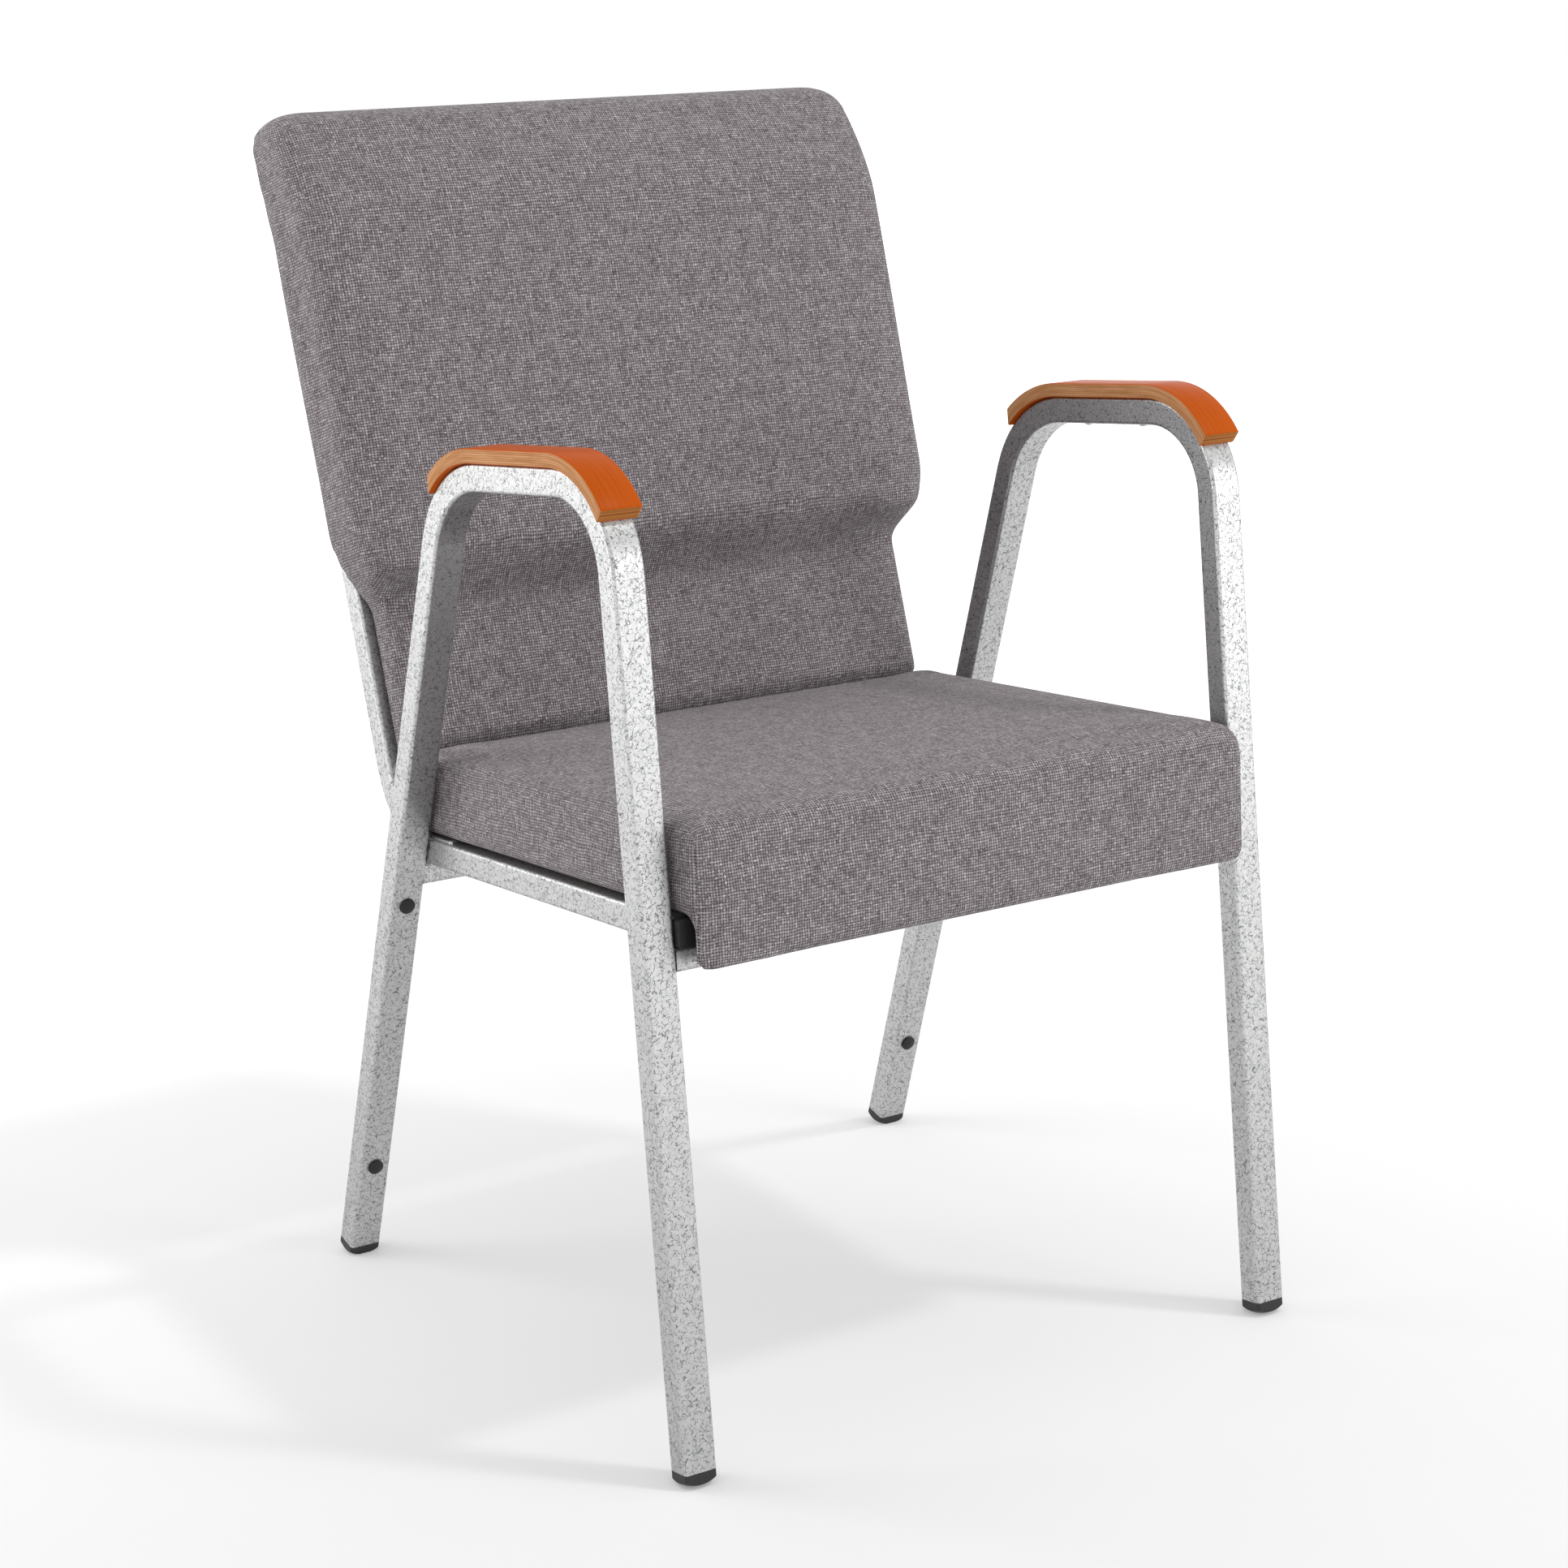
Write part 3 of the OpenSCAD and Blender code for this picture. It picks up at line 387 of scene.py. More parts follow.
def skin(name, rings, hubs):
    """A closed mesh through rings of equally many points, with a fan about a hub at each end."""
    n, m = len(rings[0]), len(rings)
    points = np.concatenate([*rings, hubs])
    faces = [(i * n + j, i * n + (j + 1) % n, (i + 1) * n + (j + 1) % n, (i + 1) * n + j)
             for i in range(m - 1) for j in range(n)]
    faces += [(m * n, (j + 1) % n, j) for j in range(n)]
    faces += [(m * n + 1, (m - 1) * n + j, (m - 1) * n + (j + 1) % n) for j in range(n)]
    mesh = bpy.data.meshes.new(name)
    mesh.from_pydata(points.tolist(), [], faces)
    made = bpy.data.objects.new(name, mesh)
    scene.collection.objects.link(made)
    bm = bmesh.new()
    bm.from_mesh(mesh)
    bmesh.ops.recalc_face_normals(bm, faces=bm.faces)
    bm.to_mesh(mesh)
    bm.free()
    return made


def seat_side_view(inset):
    """The outline of the pad seen from the side, drawn in from its edges by inset."""
    front, rear = seat_front + 0.6 * inset, seat_rear - 1.4 * inset
    under, skirt_end = board_level + 0.12 * inset, skirt_level + 0.8 * inset
    top_f, top_r = seat_top_front - inset, seat_top_rear - inset
    left = (skirt_back - front) / skirt_t
    return rounded(
        [(rear, under, 0.004, 3), (rear, top_r, seat_rear_r, 6)]
        + [(rear + k * (front - rear), top_r + k * (top_f - top_r), 0, 0)
           for k in np.linspace(0.07, 0.92, 24)]
        + [(front, top_f, seat_front_r, 9)]
        + [(front, top_f + k * (skirt_level - top_f), 0, 0) for k in (0.35, 0.5, 0.65, 0.8)]
        + [(front, skirt_end, 0.005 * left, 5), (skirt_back, skirt_end, 0.0025 * left, 4),
           (skirt_back, under, 0.0085, 5), (-0.12, under, 0, 0), (-0.03, under, 0, 0), (0.07, under, 0, 0)])


def seat_points(x, outline):
    """That outline at x, pulled in at the middle of each side and crowned on top."""
    y, z = outline[:, 0], outline[:, 1]
    mid, reach = (seat_rear + seat_front) / 2, (seat_rear - seat_front) / 2
    across = 1 - (x / seat_half) ** 2
    along = np.clip(1 - ((y - mid) / reach) ** 2, 0, None)
    up = ease((z - board_level - 0.012) / 0.032)
    ahead = ease((mid - y) / reach) * ease((0.009 + mid - y) / reach)
    return np.stack([x * (1 - seat_draw * along / seat_half), y + seat_draw * across * ahead,
                     z + seat_crown * across * along * up], axis=1)


def coordinates(mesh, what, of="vertices"):
    """Positions or normals of a mesh as an array."""
    items = getattr(mesh, of)
    found = np.zeros(len(items) * 3)
    items.foreach_get(what, found)
    return found.reshape(-1, 3)


def move_to(mesh, points):
    """Moves the vertices of a mesh to other places."""
    mesh.vertices.foreach_set("co", points.ravel())
    mesh.update()


def swell(rough, name, held):
    """The pad as simulated cloth: remeshed evenly, drawn in a little and blown up by the foam. It may then
    stand proud of its rough shape, or sink into it where the cloth pulls tight round an edge, by no more than
    most_proud and most_sunk. Where held is true it stays in place."""
    size = rough.modifiers.new("even", "REMESH")
    size.mode = "VOXEL"
    size.voxel_size = voxel
    size.use_smooth_shade = True
    even = bpy.data.meshes.new_from_object(rough.evaluated_get(bpy.context.evaluated_depsgraph_get()))
    bpy.data.objects.remove(rough)
    pad = bpy.data.objects.new(name, even)
    scene.collection.objects.link(pad)
    start, normals = coordinates(even, "co"), coordinates(even, "normal")
    fixed = held(start, normals)
    start = start - normals * np.where(fixed, 0.0, most_sunk / 2)[:, None]
    move_to(even, start)
    ended = start
    group = pad.vertex_groups.new(name="held")
    group.add(np.flatnonzero(fixed).tolist(), 1.0, "REPLACE")
    cover = pad.modifiers.new("cover", "CLOTH")
    cloth = cover.settings
    cloth.quality = 5
    cloth.mass = 0.35
    cloth.tension_stiffness = cloth.compression_stiffness = 18.0
    cloth.bending_stiffness = 2.0
    cloth.vertex_group_mass = "held"
    cloth.use_pressure = True
    cloth.uniform_pressure_force = foam_pressure
    cloth.effector_weights.gravity = 0.0
    cover.collision_settings.use_collision = False
    for number in range(1, cloth_steps + 1):
        scene.frame_set(number)
    shown = pad.evaluated_get(bpy.context.evaluated_depsgraph_get()).data
    ended = coordinates(shown, "co")
    pad.modifiers.remove(cover)
    pad.vertex_groups.clear()
    scene.frame_set(1)
    moved = ended - start
    far = np.maximum(np.linalg.norm(moved, axis=1, keepdims=True), 1e-9)
    out = (moved * normals).sum(axis=1, keepdims=True) / far
    limit = most_sunk / 2 + (most_proud - most_sunk / 2) * ease((out + 1) / 2)
    move_to(even, start + moved * (limit * np.tanh(far / limit) / far))
    return pad


def smooth_twice_as_fine(pad):
    """One level of subdivision, applied."""
    finer = pad.modifiers.new("finer", "SUBSURF")
    finer.levels = finer.render_levels = 1
    mesh = bpy.data.meshes.new_from_object(pad.evaluated_get(bpy.context.evaluated_depsgraph_get()))
    pad.modifiers.remove(finer)
    pad.data = mesh
    mesh.shade_smooth()


def length_along(outline, u, v):
    """How far along an outline the nearest point to each (u, v) lies, for about at_a_time points in turn."""
    at_a_time = 8000
    a, d = outline[:-1], np.diff(outline, axis=0)
    size = np.linalg.norm(d, axis=1)
    before = np.concatenate([[0.0], np.cumsum(size)[:-1]])
    found = np.zeros(len(u))
    for part in np.array_split(np.arange(len(u)), max(1, len(u) // at_a_time)):
        du, dv = u[part, None] - a[:, 0], v[part, None] - a[:, 1]
        t = np.clip((du * d[:, 0] + dv * d[:, 1]) / size ** 2, 0, 1)
        gap_to = (du - t * d[:, 0]) ** 2 + (dv - t * d[:, 1]) ** 2
        best = np.argmin(gap_to, axis=1)
        found[part] = before[best] + t[np.arange(len(part)), best] * size[best]
    return found


def over_edge(x, edge, r, depth):
    """Distance across the cloth from the middle: flat to the edge's rounding, round it and down the side."""
    flat = edge - r
    turn = np.arctan2(np.maximum(np.abs(x) - flat, 0), np.maximum(r - depth, 1e-6))
    wide = np.where(np.abs(x) > flat, flat + r * turn, np.abs(x))
    return np.sign(x) * np.where(depth > r, flat + r * pi / 2 + depth - r, wide)


def lay_cloth(mesh, *maps):
    """Writes the weave's UV map. Each map is its values at the vertices and the faces that it holds for, and
    a later one covers an earlier one."""
    corners, counts = np.zeros(len(mesh.loops), int), np.zeros(len(mesh.polygons), int)
    mesh.loops.foreach_get("vertex_index", corners)
    mesh.polygons.foreach_get("loop_total", counts)
    chosen = np.zeros((len(corners), 2))
    for across, run, faces in maps:
        used = np.repeat(faces, counts)
        chosen[used] = np.stack([across, run], 1)[corners[used]]
    mesh.uv_layers.new(name="weave").data.foreach_set("uv", chosen.ravel())
    mesh.materials.clear()
    mesh.materials.append(woven)


def place_in(pad, matrix):
    """Moves the mesh itself from its piece's own frame into the chair's."""
    pad.data.transform(matrix)
    pad.data.update()


def within(points, half_x, front, rear):
    """Whether points lie in a rectangle, seen from below."""
    return (np.abs(points[:, 0]) < half_x) & (points[:, 1] > front) & (points[:, 1] < rear)


rows = [(-seat_half + seat_side_r * (1 - cos(a)), seat_side_r * (1 - sin(a)))
        for a in np.linspace(0, pi / 2, 9)]
rows += [(x, 0.0) for x in np.linspace(-seat_half + seat_side_r, seat_half - seat_side_r, 42)[1:-1]]
rows += [(-x, inset) for x, inset in rows[8::-1]]
hub = np.array([[skirt_back - 0.001, board_level + 0.012]])
seat_rough = skin("seat rough", [seat_points(x, seat_side_view(inset)) for x, inset in rows],
                  [seat_points(-seat_half, hub)[0], seat_points(seat_half, hub)[0]])
seat_pad = swell(seat_rough, "seat_cushion_cover",
                 lambda p, n: (n[:, 2] < -0.7) & (p[:, 2] < board_level + 0.004))
points = coordinates(seat_pad.data, "co")
hem = within(points, hem_x, hem_front, hem_rear) & (points[:, 2] < board_level + 0.004)
recess = hem & within(points, recess_x, recess_front, recess_rear)
points[hem, 2] -= hem_t
points[recess, 2] += recess_depth
seat_pad.data.vertices.foreach_set("co", points.ravel())
smooth_twice_as_fine(seat_pad)

# The weave's map: first the underside and the rear, then the top, the sides and the front
p, n = coordinates(seat_pad.data, "co"), coordinates(seat_pad.data, "normal", "polygons")
profile = seat_points(0.0, seat_side_view(0.0))[:, 1:]
run = length_along(profile, p[:, 1], p[:, 2])
top_fall = (seat_top_rear - seat_top_front) * (p[:, 1] - seat_front) / (seat_rear - seat_front)
drop = seat_top_front + top_fall - p[:, 2]
across_top = over_edge(p[:, 0], seat_half, seat_side_r, drop)
across_front = over_edge(p[:, 0], seat_half, seat_side_r, p[:, 1] - seat_front)
lay_cloth(seat_pad.data, (p[:, 0], run, np.full(len(n), True)),
          (across_top, run, n[:, 2] > 0),
          (across_top, 0.19 - p[:, 1], np.abs(n[:, 0]) > np.maximum(np.abs(n[:, 1]), np.abs(n[:, 2]))),
          (across_front, run, (-n[:, 1] > np.abs(n[:, 0])) & (-n[:, 1] > n[:, 2])))
place_in(seat_pad, in_seat)
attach(seat_pad, "root")
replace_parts(seat_pad, "seat_cushion")

# Back pad
# Foam on the back board: thin and narrow behind the sitter's hips, then wider and thicker over a rounded
# lumbar step, and rolled to the rear at the top. Its cover is pulled round and stapled under the panel.
back_lean, back_reach, back_start, back_h = radians(18.8), 0.1855, 0.058, 0.489
rail_end = (0, back_reach * cos(seat_pitch) - middle_y, rail_h - back_reach * sin(seat_pitch))
in_back = (Matrix.Translation(rail_end) @ Matrix.Rotation(-back_lean, 4, "X")
           @ Matrix.Translation((0, -0.010, back_start)))
waist_w, back_w = 0.468, 0.516
waist_t, lumbar_t, back_t = 0.0255, 0.0565, 0.062
shoulder_low, shoulder_high, shoulder_bend = 0.116, 0.174, 0.45
lumbar_low, lumbar_high, lumbar_bend = 0.113, 0.141, 1.54
soft_low, soft_high, soft_from_side = 0.104, 0.151, 0.110
roll_low, roll_len, roll_front, roll_rear, roll_bend = 0.393, 0.096, 0.033, 0.014, 1.57
back_corner_r, corner_bend, back_top_r, back_bottom_r = 0.033, 0.78, 0.019, 0.008
waist_edge_r, edge_r_gain, back_rear_r, back_crown = 0.009, 0.010, 0.004, 0.005


def rise(h, low, high, power=1.0):
    """Smooth rise from 0 at a low level to 1 at a high one."""
    return ease((h - low) / (high - low)) ** power


def half_width(h):
    """Half the width of the pad at a height over its bottom edge."""
    return (waist_w + (back_w - waist_w) * rise(h, shoulder_low, shoulder_high, shoulder_bend)) / 2


def lumbar(h):
    """Share of the lumbar step that is done at a height, at the pad's sides."""
    return rise(h, lumbar_low, lumbar_high, lumbar_bend)


def front_depth(h, inboard=0.0):
    """How far the pad's front stands before its rear face at a height. The step is softer at inboard 1."""
    roll = roll_front * (np.clip(h - roll_low, 0, None) / roll_len) ** roll_bend
    step = lumbar(h) + (rise(h, soft_low, soft_high) - lumbar(h)) * inboard
    above = (back_t - lumbar_t) * rise(h, lumbar_high, roll_low)
    return waist_t + (lumbar_t - waist_t) * step + above - roll


def edge_radius(h):
    """Rounding of the front's side edges at a height."""
    return waist_edge_r + edge_r_gain * lumbar(h)


def back_level(h, side_in, face_in):
    """The pad's outline at a height, with its crown, drawn in at the sides and at the front and rear."""
    w, front = half_width(h) - side_in, face_in - front_depth(h)
    rear = roll_rear * max(0.0, h - roll_low) / roll_len - face_in / 2
    front_r, rear_r = edge_radius(h) - face_in / 2, back_rear_r * (1 - face_in / back_top_r / 2)
    outline = rounded(
        [(-w, rear, rear_r, 3), (-w, front, front_r, 9)]
        + [(k * (w - front_r), front, 0, 0) for k in np.linspace(-0.94, 0.94, 35)]
        + [(w, front, front_r, 9), (w, rear, rear_r, 3)]
        + [(k * (w - rear_r), rear, 0, 0) for k in np.linspace(0.9, -0.9, 17)])
    x, y = outline[:, 0], outline[:, 1]
    inboard = ease((half_width(h) - np.abs(x)) / soft_from_side) * ease(-y / front_depth(h))
    y = y + (front_depth(h) - front_depth(h, 1.0)) * inboard
    crown = (back_crown * np.clip(1 - (x / half_width(h)) ** 2, 0, None) * ease(-(y + 0.012) / waist_t)
             * (1 - face_in / back_top_r))
    return np.stack([x, y - crown, np.full(len(x), h)], axis=1)


levels = [(back_bottom_r * (1 - cos(a)), back_bottom_r * (1 - sin(a)), back_bottom_r * (1 - sin(a)))
          for a in np.linspace(0, pi / 2, 6)[:-1]]
for low, high, steps in ((back_bottom_r, 0.108, 14), (0.112, 0.176, 25), (0.188, back_h - back_corner_r, 26)):
    levels += [(h, 0.0, 0.0) for h in np.linspace(low, high, steps)]
for a in np.linspace(0, pi / 2, 13)[1:]:
    up = back_corner_r * sin(a) ** corner_bend
    k = max(0.0, (up - back_corner_r + back_top_r) / back_top_r)
    levels.append((back_h - back_corner_r + up, back_corner_r * (1 - max(0.0, cos(a)) ** corner_bend),
                   back_top_r * (1 - (1 - min(1.0, k) ** 2) ** 0.5)))
top_y = (roll_rear + roll_front - back_t + back_top_r / 2) / 2
back_rough = skin("back rough", [back_level(*level) for level in levels],
                  [np.array([0, -waist_t / 2, 0.0]), np.array([0, top_y, back_h])])
back_pad = swell(back_rough, "back_cushion_cover", lambda p, n: n[:, 1] > 0.8)

# The pocket for the board and the panel, which are narrower beside the waist and rounded above it
panel_low_x, panel_high_x, panel_r = 0.225, 0.249, 0.024
panel_foot, panel_shoulder, panel_round, panel_top = 0.014, 0.174, 0.365, 0.389
pocket_depth = 0.0168


def inside_panel(x, h):
    """Whether points lie inside the outline of the panel and the board behind the pad."""
    beside = np.clip(np.abs(x) - panel_low_x, 0, None)
    in_corner = np.hypot(beside, np.clip(h - panel_round, 0, None)) < panel_r
    in_width = np.abs(x) < np.where(h > panel_shoulder, panel_high_x, panel_low_x)
    return in_width & (h > panel_foot) & (h < panel_top) & (in_corner | (h < panel_round) | (beside == 0))


points = coordinates(back_pad.data, "co")
pocket = inside_panel(points[:, 0], points[:, 2]) & (points[:, 1] > -0.003)
points[pocket, 1] -= pocket_depth
back_pad.data.vertices.foreach_set("co", points.ravel())
smooth_twice_as_fine(back_pad)

# The weave's map: first the rear, the top and the bottom, then the front, then the sides
p, n = coordinates(back_pad.data, "co"), coordinates(back_pad.data, "normal", "polygons")
heights = np.linspace(0, back_h - 0.012, 160)
up_front = np.stack([-front_depth(heights, 1.0), heights], 1)
over_top = np.array([(-0.0165, 0.4865), (-0.010, back_h), (0.004, back_h), (0.0125, 0.480), (0.014, 0.470)])
down_rear = np.stack([roll_rear * np.clip(heights[::-1] - roll_low, 0, None) / roll_len, heights[::-1]], 1)
middle_line = np.concatenate([up_front, over_top, down_rear[3:]])
run = length_along(middle_line, p[:, 1], p[:, 2])
steps = np.concatenate([[0.0], np.cumsum(np.linalg.norm(np.diff(up_front, axis=0), axis=1))])
across = over_edge(p[:, 0], half_width(p[:, 2]), edge_radius(p[:, 2]), p[:, 1] + front_depth(p[:, 2]))
on_side = np.abs(n[:, 0]) > np.maximum(np.abs(n[:, 1]), np.abs(n[:, 2]))
lay_cloth(back_pad.data, (p[:, 0], run, np.full(len(n), True)),
          (across, run, -n[:, 1] > np.abs(n[:, 2])),
          (across, np.interp(p[:, 2], heights, steps), on_side))
place_in(back_pad, in_back)
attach(back_pad, "root")
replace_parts(back_pad, "back_cushion")

# Back panel
# A thin board wrapped in the same cloth, which closes the rear of the pad between its stapled edges. The
# uprights' screws pass through it into the board.
panel_t, panel_edge_r = 0.004, 0.0018
turn = np.linspace(0, pi / 2, 9)
side = [(panel_low_x, panel_foot), (panel_low_x, panel_shoulder)]
side += [(panel_low_x + panel_r * sin(a), 0.198 - panel_r * cos(a)) for a in turn[1:]]
side += [(panel_low_x + panel_r * cos(a), panel_round + panel_r * sin(a)) for a in turn]
outline = side + [(-x, h) for x, h in side[::-1]]
panel_mesh = bpy.data.meshes.new("back_panel_cover")
bm = bmesh.new()
rear_face = bm.faces.new([bm.verts.new((x, 0.0, h)) for x, h in outline])
deep = bmesh.ops.extrude_face_region(bm, geom=[rear_face])
front_verts = [v for v in deep["geom"] if isinstance(v, bmesh.types.BMVert)]
bmesh.ops.translate(bm, verts=front_verts, vec=(0, -panel_t, 0))
rim = [e for e in bm.edges if all(abs(v.co.y) < 1e-6 for v in e.verts)]
bmesh.ops.bevel(bm, geom=rim, offset=panel_edge_r, segments=3, profile=0.5, affect="EDGES")
bmesh.ops.recalc_face_normals(bm, faces=bm.faces)
bm.to_mesh(panel_mesh)
bm.free()
panel_mesh.shade_smooth()
panel_mesh.set_sharp_from_angle(angle=radians(40))
back_panel = bpy.data.objects.new("back_panel_cover", panel_mesh)
scene.collection.objects.link(back_panel)
p = coordinates(panel_mesh, "co")
lay_cloth(panel_mesh, (p[:, 0], p[:, 2], np.full(len(panel_mesh.polygons), True)))
place_in(back_panel, in_back)
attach(back_panel, "root")
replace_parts(back_panel, "back_panel")

# Arm caps
# Seven layers of veneer, bent in one go over the arm and part of both bends, stained orange and lacquered. The
# ends are cut off at a slant, so that the lower layers reach further. Two screws hold each cap from below.
veneer_t, cap_w, cap_t, cap_edge_r = 0.0015, 0.032, 0.0105, 0.0012
stained, tree, surface = new_material("orange stained ply", Specular_IOR_Level=0.03)
grain = add(tree, "ShaderNodeAttribute", attribute_name="grain").outputs["Vector"]
run_at, width_at, depth_at = add(tree, "ShaderNodeSeparateXYZ", {0: grain}).outputs
long_way = add(tree, "ShaderNodeMapping", {"Vector": grain, "Scale": (9.0, 900.0, 900.0)}).outputs[0]
fibre = mottle(tree, long_way, 1.6, 5.0, roughness=0.62)[0]
fine = add(tree, "ShaderNodeMapping", {"Vector": grain, "Scale": (60.0, 2600.0, 2600.0)}).outputs[0]
pores = mottle(tree, fine, 1.0, 2.0)[0]
face_tone = calc(tree, "MULTIPLY_ADD", pores, 0.35, calc(tree, "MULTIPLY", fibre, 0.75))
face_colour = blend_colours(tree, spread(tree, face_tone, 0.28, 0.80),
                            (0.46, 0.072, 0.004, 1), (0.60, 0.112, 0.008, 1))
count = calc(tree, "DIVIDE", depth_at, veneer_t)
layer = calc(tree, "ROUND", count)
from_middle = calc(tree, "ABSOLUTE", calc(tree, "SUBTRACT", count, layer))
to_glue = calc(tree, "ABSOLUTE", calc(tree, "SUBTRACT", from_middle, 0.5))
glue = spread(tree, to_glue, 0.03, 0.16, 1.0, 0.0)
of_layer = add(tree, "ShaderNodeCombineXYZ", {
    0: calc(tree, "MULTIPLY", run_at, 22.0), 1: calc(tree, "MULTIPLY", layer, 3.7)}).outputs[0]
layer_tone = mottle(tree, of_layer, 1.0, 3.0)[0]
edge_colour = blend_colours(tree, spread(tree, layer_tone, 0.3, 0.7),
                            (0.50, 0.225, 0.090, 1), (0.66, 0.345, 0.165, 1))
edge_colour = blend_colours(tree, calc(tree, "MULTIPLY", glue, 0.75), edge_colour, (0.30, 0.115, 0.055, 1))
on_end = spread(tree, calc(tree, "ABSOLUTE", width_at), 0.0150, 0.0154, 1.0, 0.0)
end_colour = blend_colours(tree, spread(tree, layer_tone, 0.35, 0.65),
                           (0.38, 0.150, 0.042, 1), (0.54, 0.200, 0.050, 1))
mid_line = spread(tree, calc(tree, "ABSOLUTE", depth_at), 0.0002, 0.0006, 0.85, 0.0)
end_lines = calc(tree, "MAXIMUM", mid_line, calc(tree, "MULTIPLY", glue, 0.4))
end_colour = blend_colours(tree, end_lines, end_colour, (0.24, 0.068, 0.018, 1))
edge_colour = blend_colours(tree, on_end, edge_colour, end_colour)
on_face = spread(tree, calc(tree, "ABSOLUTE", depth_at), 0.0044, 0.0049)
tree.links.new(blend_colours(tree, on_face, edge_colour, face_colour), surface.inputs["Base Color"])
tree.links.new(spread(tree, on_face, 0.0, 1.0, 0.5, 0.30), surface.inputs["Roughness"])
relieve(tree, surface, pores, 0.25, 0.00008)

front_lean, rear_lean, arm_fall = radians(7.5), radians(15.9), radians(7.0)
foot_reach, foot_h, arm_rise = 0.2415, 0.010, 0.640
front_bend_r, rear_bend_r, cap_off = 0.060, 0.078, 0.01525
frame_x, spare = 0.2535, radians(5)
arm_heading = pi / 2 + arm_fall
front_end, rear_end = arm_heading - radians(57.5), arm_heading + radians(39.0)
front_slant, rear_slant = radians(15), radians(38)


def ahead(heading):
    """The way along the side frame at a heading, as (y, z)."""
    return np.array([sin(heading), cos(heading)])


def outward(heading):
    """The way out of the frame's loop at a heading."""
    return np.array([-cos(heading), sin(heading)])


def cap_bend(centre, r, start, end, count):
    """The cap's middle line round one bend of the frame."""
    return [centre + outward(a) * (r + cap_off) for a in np.linspace(start, end, count)]


front_y = (-foot_reach + arm_rise * tan(front_lean)) / (1 + tan(arm_fall) * tan(front_lean))
rear_y = (foot_reach - arm_rise * tan(rear_lean)) / (1 - tan(arm_fall) * tan(rear_lean))
front_top = np.array([front_y, foot_h + arm_rise - front_y * tan(arm_fall)])
rear_top = np.array([rear_y, foot_h + arm_rise - rear_y * tan(arm_fall)])
arm_start = front_top + ahead(arm_heading) * front_bend_r * tan((arm_heading - front_lean) / 2)
arm_end = rear_top - ahead(arm_heading) * rear_bend_r * tan((pi - arm_heading - rear_lean) / 2)
front_centre = arm_start - outward(arm_heading) * front_bend_r
rear_centre = arm_end - outward(arm_heading) * rear_bend_r
arm_line = (cap_bend(front_centre, front_bend_r, front_end - spare, arm_heading, 26)
            + cap_bend(rear_centre, rear_bend_r, arm_heading, rear_end + spare, 20))

bent_board = bpy.data.node_groups.new("board bent along a line", "GeometryNodeTree")
bent_board.interface.new_socket("Line", in_out="INPUT", socket_type="NodeSocketGeometry")
for label in ("Width", "Thickness", "Edge radius"):
    bent_board.interface.new_socket(label, in_out="INPUT", socket_type="NodeSocketFloat")
bent_board.interface.new_socket("Board", in_out="OUTPUT", socket_type="NodeSocketGeometry")
given = add(bent_board, "NodeGroupInput").outputs
line = add(bent_board, "GeometryNodeMeshToCurve", {"Mesh": given["Line"]}).outputs[0]
level_line = add(bent_board, "GeometryNodeSetCurveNormal", {"Curve": line}, mode="Z_UP").outputs[0]
along_it = add(bent_board, "GeometryNodeSplineParameter").outputs["Length"]
marked_line = add(bent_board, "GeometryNodeStoreNamedAttribute", {
    "Geometry": level_line, "Name": "run", "Value": along_it}, data_type="FLOAT").outputs[0]
section = add(bent_board, "GeometryNodeCurvePrimitiveQuadrilateral", {
    "Width": given["Width"], "Height": given["Thickness"]}).outputs[0]
section = add(bent_board, "GeometryNodeFilletCurve", {
    "Curve": section, "Radius": given["Edge radius"], "Count": 3}, mode="POLY").outputs[0]
where = add(bent_board, "GeometryNodeInputPosition").outputs[0]
marked_section = add(bent_board, "GeometryNodeStoreNamedAttribute", {
    "Geometry": section, "Name": "section", "Value": where}, data_type="FLOAT_VECTOR").outputs[0]
board = add(bent_board, "GeometryNodeCurveToMesh", {
    "Curve": marked_line, "Profile Curve": marked_section, "Fill Caps": True}).outputs[0]
run_back = add(bent_board, "GeometryNodeInputNamedAttribute", {"Name": "run"},
               data_type="FLOAT").outputs["Attribute"]
section_back = add(bent_board, "GeometryNodeInputNamedAttribute", {"Name": "section"},
                   data_type="FLOAT_VECTOR").outputs["Attribute"]
flat = add(bent_board, "ShaderNodeSeparateXYZ", {0: section_back}).outputs
together = add(bent_board, "ShaderNodeCombineXYZ", {0: run_back, 1: flat[0], 2: flat[1]}).outputs[0]
grained = add(bent_board, "GeometryNodeStoreNamedAttribute", {
    "Geometry": board, "Name": "grain", "Value": together}, data_type="FLOAT_VECTOR").outputs[0]
plain = add(bent_board, "GeometryNodeRealizeInstances", {"Geometry": grained}).outputs[0]
coloured = add(bent_board, "GeometryNodeSetMaterial", {"Geometry": plain, "Material": stained}).outputs[0]
add(bent_board, "NodeGroupOutput", {"Board": coloured})
sockets = {item.name: item.identifier for item in bent_board.interface.items_tree}


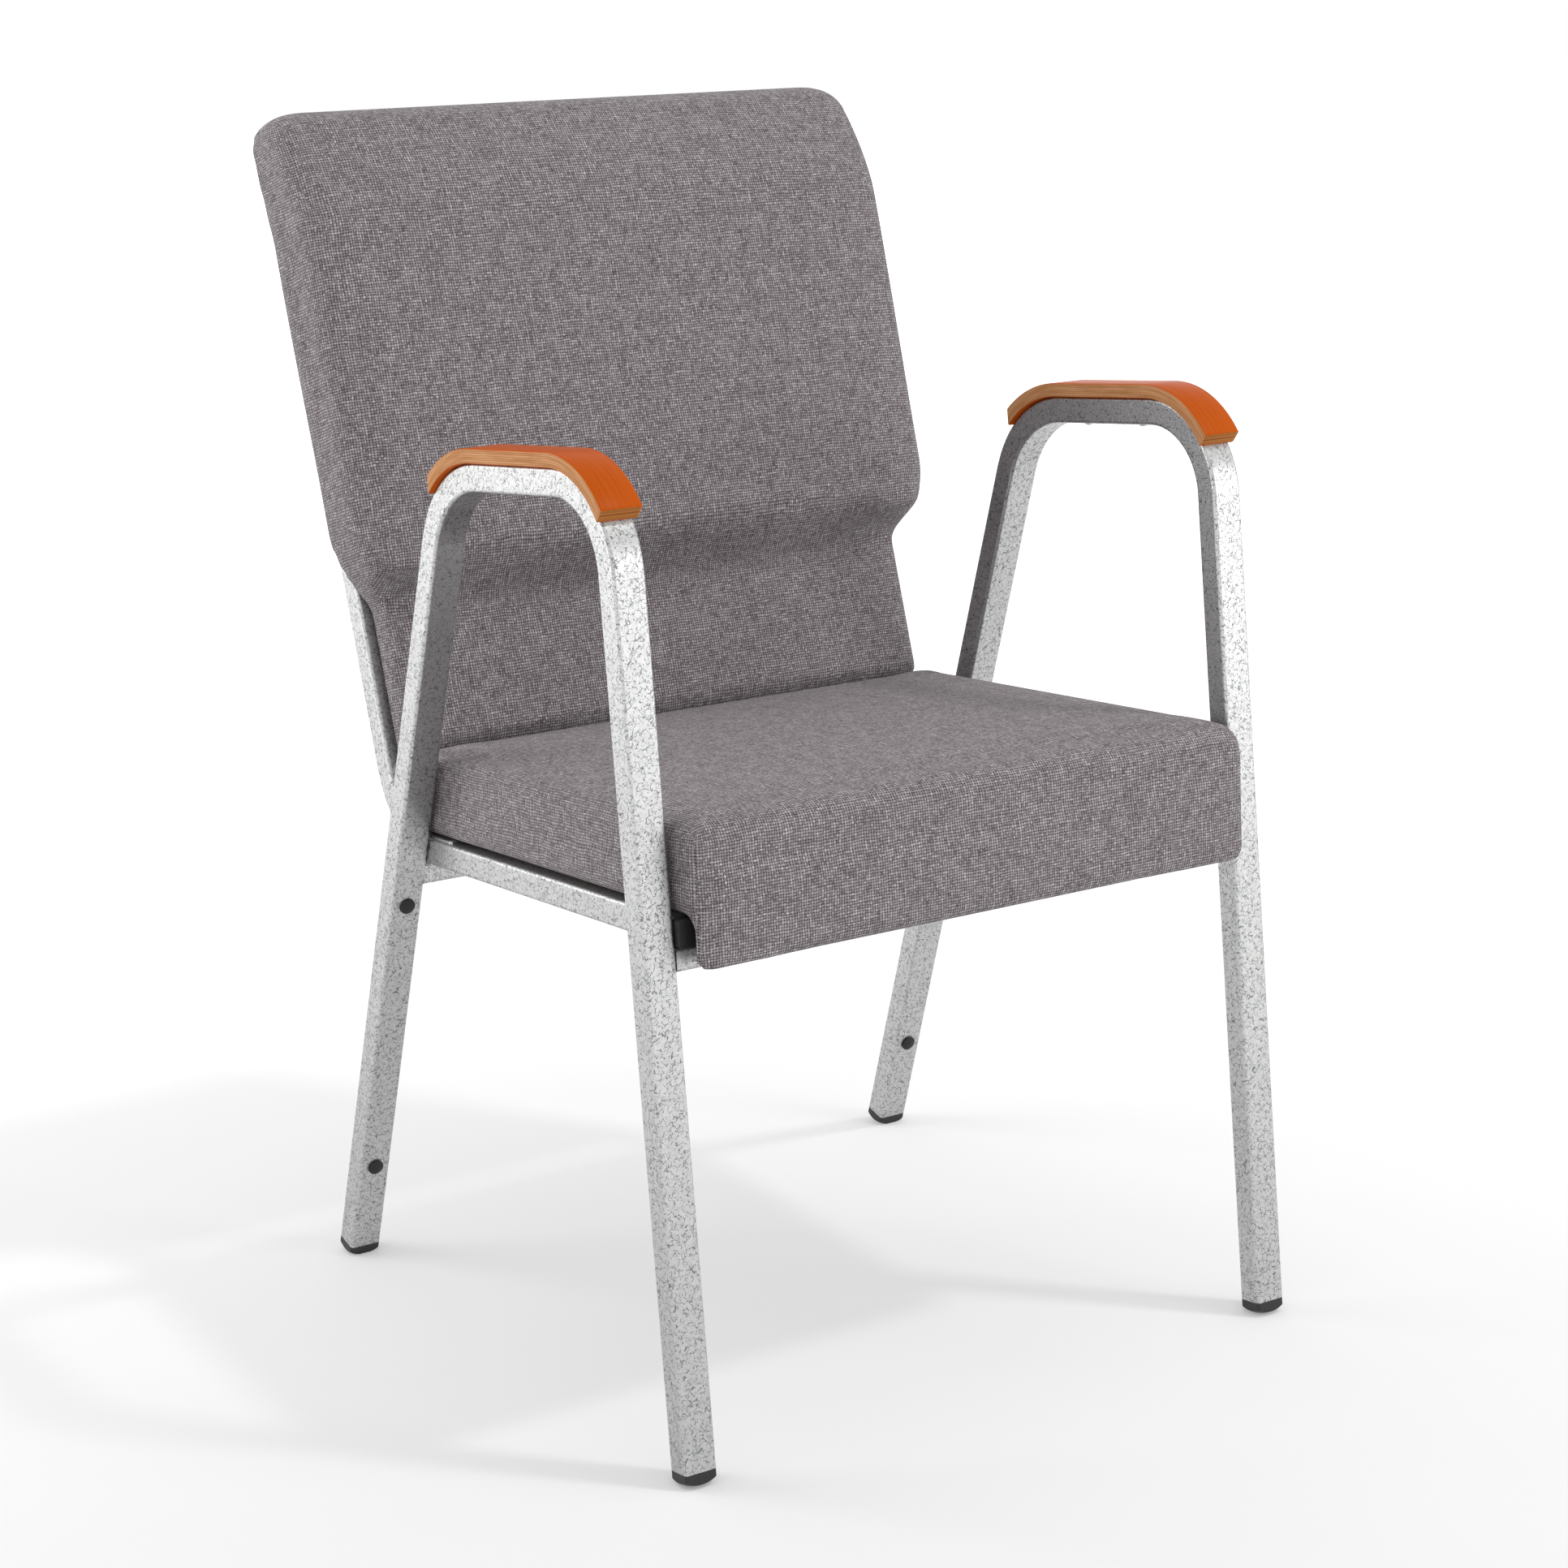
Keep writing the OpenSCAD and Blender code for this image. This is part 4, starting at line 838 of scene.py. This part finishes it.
def arm_cap(name, x):
    """One cap: the board bent along the arm's line, with its ends cut off at a slant and its edges eased."""
    mesh = bpy.data.meshes.new(name)
    mesh.from_pydata([(x, y - middle_y, z) for y, z in arm_line],
                     [(i, i + 1) for i in range(len(arm_line) - 1)], [])
    cap = bpy.data.objects.new(name, mesh)
    scene.collection.objects.link(cap)
    bending = cap.modifiers.new("bend", "NODES")
    bending.node_group = bent_board
    for label, value in (("Width", cap_w), ("Thickness", cap_t), ("Edge radius", cap_edge_r)):
        bending[sockets[label]] = value
    cap.data = bpy.data.meshes.new_from_object(cap.evaluated_get(bpy.context.evaluated_depsgraph_get()))
    cap.modifiers.remove(bending)
    bm = bmesh.new()
    bm.from_mesh(cap.data)
    for centre, r, heading, onward, slant in ((front_centre, front_bend_r, front_end, 1, front_slant),
                                              (rear_centre, rear_bend_r, rear_end, -1, rear_slant)):
        at = centre + outward(heading) * (r + cap_off)
        way = onward * cos(slant) * ahead(heading) - sin(slant) * outward(heading)
        cut = bmesh.ops.bisect_plane(bm, geom=[*bm.verts, *bm.edges, *bm.faces],
                                     plane_co=(x, at[0] - middle_y, at[1]), plane_no=(0, *way),
                                     clear_inner=True)
        rim = [e for e in cut["geom_cut"] if isinstance(e, bmesh.types.BMEdge)]
        bmesh.ops.contextual_create(bm, geom=rim)
    bmesh.ops.recalc_face_normals(bm, faces=bm.faces)
    bm.to_mesh(cap.data)
    bm.free()
    eased = cap.modifiers.new("eased ends", "BEVEL")
    eased.width = 0.0007
    eased.segments = 2
    eased.limit_method = "ANGLE"
    eased.angle_limit = radians(50)
    cap.data = bpy.data.meshes.new_from_object(cap.evaluated_get(bpy.context.evaluated_depsgraph_get()))
    cap.modifiers.remove(eased)
    cap.data.shade_smooth()
    cap.data.set_sharp_from_angle(angle=radians(35))
    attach(cap, "root")
    return cap


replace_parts(arm_cap("left_arm_cap_ply", -frame_x), "left_arm_cap")
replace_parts(arm_cap("right_arm_cap_ply", frame_x), "right_arm_cap")
